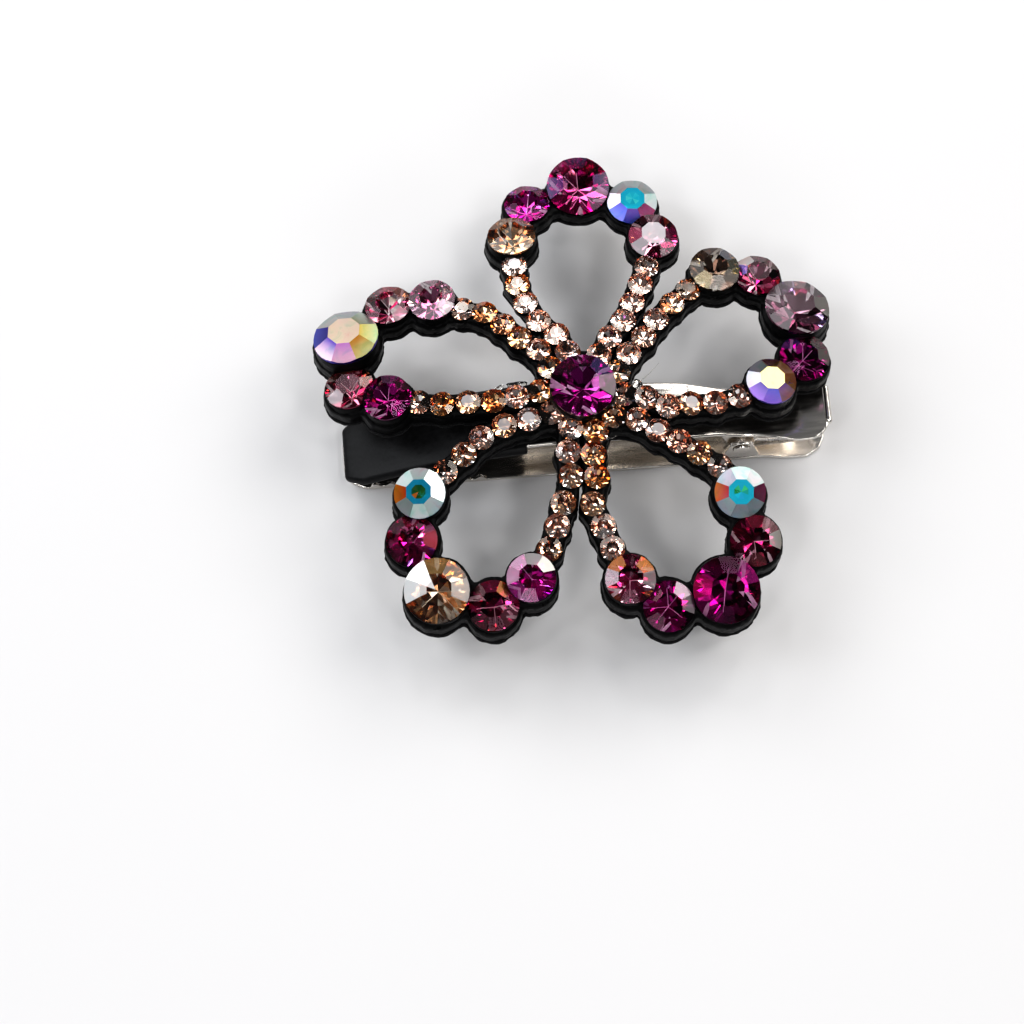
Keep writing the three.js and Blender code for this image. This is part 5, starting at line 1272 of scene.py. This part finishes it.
blob("glue_bead_left", -8.2, 1.0, (1.15, 0.55, 0.45), 0.12, 11, -0.25)
blob("glue_bead_left_small", -10.3, 0.75, (0.5, 0.3, 0.25), 0.3, 12, -0.2)
blob("glue_bead_right", 6.75, 0.85, (0.75, 0.62, 0.45), -0.4, 13, 0.15)
blob("glue_bead_front", 2.75, -6.3, (0.42, 0.3, 0.28), 0.9, 14, 0.1)
blob("glue_bead_lower_right", 13.35, -23.9, (0.4, 0.26, 0.25), 0.4, 15, 0.05)
thread("glue_thread_right", ((7.0, 1.1, 14.75), (8.3, 2.0, 15.1), (9.5, 3.9, 14.2)), 0.045)
thread("glue_thread_front", ((2.9, -6.2, 14.5), (3.6, -6.6, 14.7), (4.1, -5.9, 14.35)), 0.06)

# ------------------------------------------------------------------ floor and light
def floor_material():
    m, nt, out = node_material("pale_floor")
    n = noise_node(nt, 3, 3)
    c = ramp(nt, n.outputs["Fac"], [(0.3, (0.645, 0.64, 0.645)), (0.7, (0.675, 0.67, 0.675))])
    b = principled(nt, **{"Roughness": 0.75, "Specular IOR Level": 0.2})
    nt.links.new(c.outputs["Color"], b.inputs["Base Color"])
    nt.links.new(b.outputs[0], out.inputs["Surface"])
    return m


fl = bpy.data.meshes.new("floor")
fl.from_pydata([(-3, -3, 0), (3, -3, 0), (3, 3, 0), (-3, 3, 0)], [], [(0, 1, 2, 3)])
fl.materials.append(floor_material())
floor = bpy.data.objects.new("floor", fl)
scene.collection.objects.link(floor)

world = bpy.data.worlds.new("world")
scene.world = world
world.use_nodes = True
bg = world.node_tree.nodes["Background"]
bg.inputs["Color"].default_value = (0.95, 0.97, 1.0, 1)
bg.inputs["Strength"].default_value = 0.14

CENTRE = Vector((0, 0, 0.012))


def area(name, az, el, dist, size, size_y, radiance, colour=(1, 1, 1)):
    """An area light az degrees round from +X (anticlockwise), el degrees up, dist metres away, facing the object."""
    a, e = math.radians(az), math.radians(el)
    p = CENTRE + Vector((math.cos(a) * math.cos(e), math.sin(a) * math.cos(e), math.sin(e))) * dist
    li = bpy.data.lights.new(name, "AREA")
    li.shape = "RECTANGLE"
    li.size, li.size_y = size, size_y
    li.energy = radiance * math.pi * size * size_y
    li.color = colour
    ob = bpy.data.objects.new(name, li)
    scene.collection.objects.link(ob)
    ob.location = p
    ob.rotation_euler = (CENTRE - p).to_track_quat("-Z", "Y").to_euler()
    return ob


area("back_left", 128, 33, 0.8, 0.42, 0.34, 4)
area("back_right", 48, 35, 0.8, 0.42, 0.34, 4, (1.0, 0.98, 0.95))
area("left", 167, 42, 0.8, 0.30, 0.46, 4.5, (0.93, 0.96, 1.0))
area("right", 12, 44, 0.8, 0.28, 0.44, 4.5, (1.0, 0.97, 0.93))
area("front", 268, 28, 0.9, 0.45, 0.16, 3.5)
area("front_left", 228, 56, 0.9, 0.175, 0.175, 11)
area("front_right", 308, 60, 0.9, 0.165, 0.165, 11)
area("top_small", 345, 68, 0.9, 0.115, 0.115, 12)
area("spark_left", 192, 62, 0.9, 0.115, 0.115, 12)
area("spark_back", 96, 52, 0.9, 0.115, 0.115, 12)


def glint(name, at, axis, dist, size, radiance):
    """A small light that the flat top of one stone mirrors to the camera."""
    p = Vector(to_row([at])[0])
    n = (turn @ Vector(axis)).normalized()
    v = (cam.location - p).normalized()
    d = (2 * n.dot(v) * n - v).normalized()
    li = bpy.data.lights.new(name, "AREA")
    li.shape = "DISK"
    li.size = size
    li.energy = radiance * math.pi * math.pi * size * size / 4
    ob = bpy.data.objects.new(name, li)
    scene.collection.objects.link(ob)
    ob.location = p + d * dist
    ob.rotation_euler = (-d).to_track_quat("-Z", "Y").to_euler()
    return ob


for k, (at_xy, radiance) in enumerate([((-8.45, 17.78), 14), ((2.0, 5.0), 10)]):
    glint("glint_%d" % k, (at_xy[0], at_xy[1], surf(*at_xy)), surf_normal(*at_xy), 0.9, 0.07, radiance)

name, x, y, z, nx, ny, d = [b for b in BIG if b[0] == "stone_right_5"][0]
glint("glint_table", (x, y, z), (nx, ny, math.sqrt(1 - nx * nx - ny * ny)), 0.9, 0.15, 7)

# the stones need enough bounces for light to find its way out of them
scene.cycles.max_bounces = 24
scene.cycles.glossy_bounces = 16
scene.cycles.transmission_bounces = 16

scene.view_settings.view_transform = "Standard"
scene.view_settings.look = "Medium High Contrast"
scene.view_settings.exposure = 0
scene.view_settings.gamma = 1
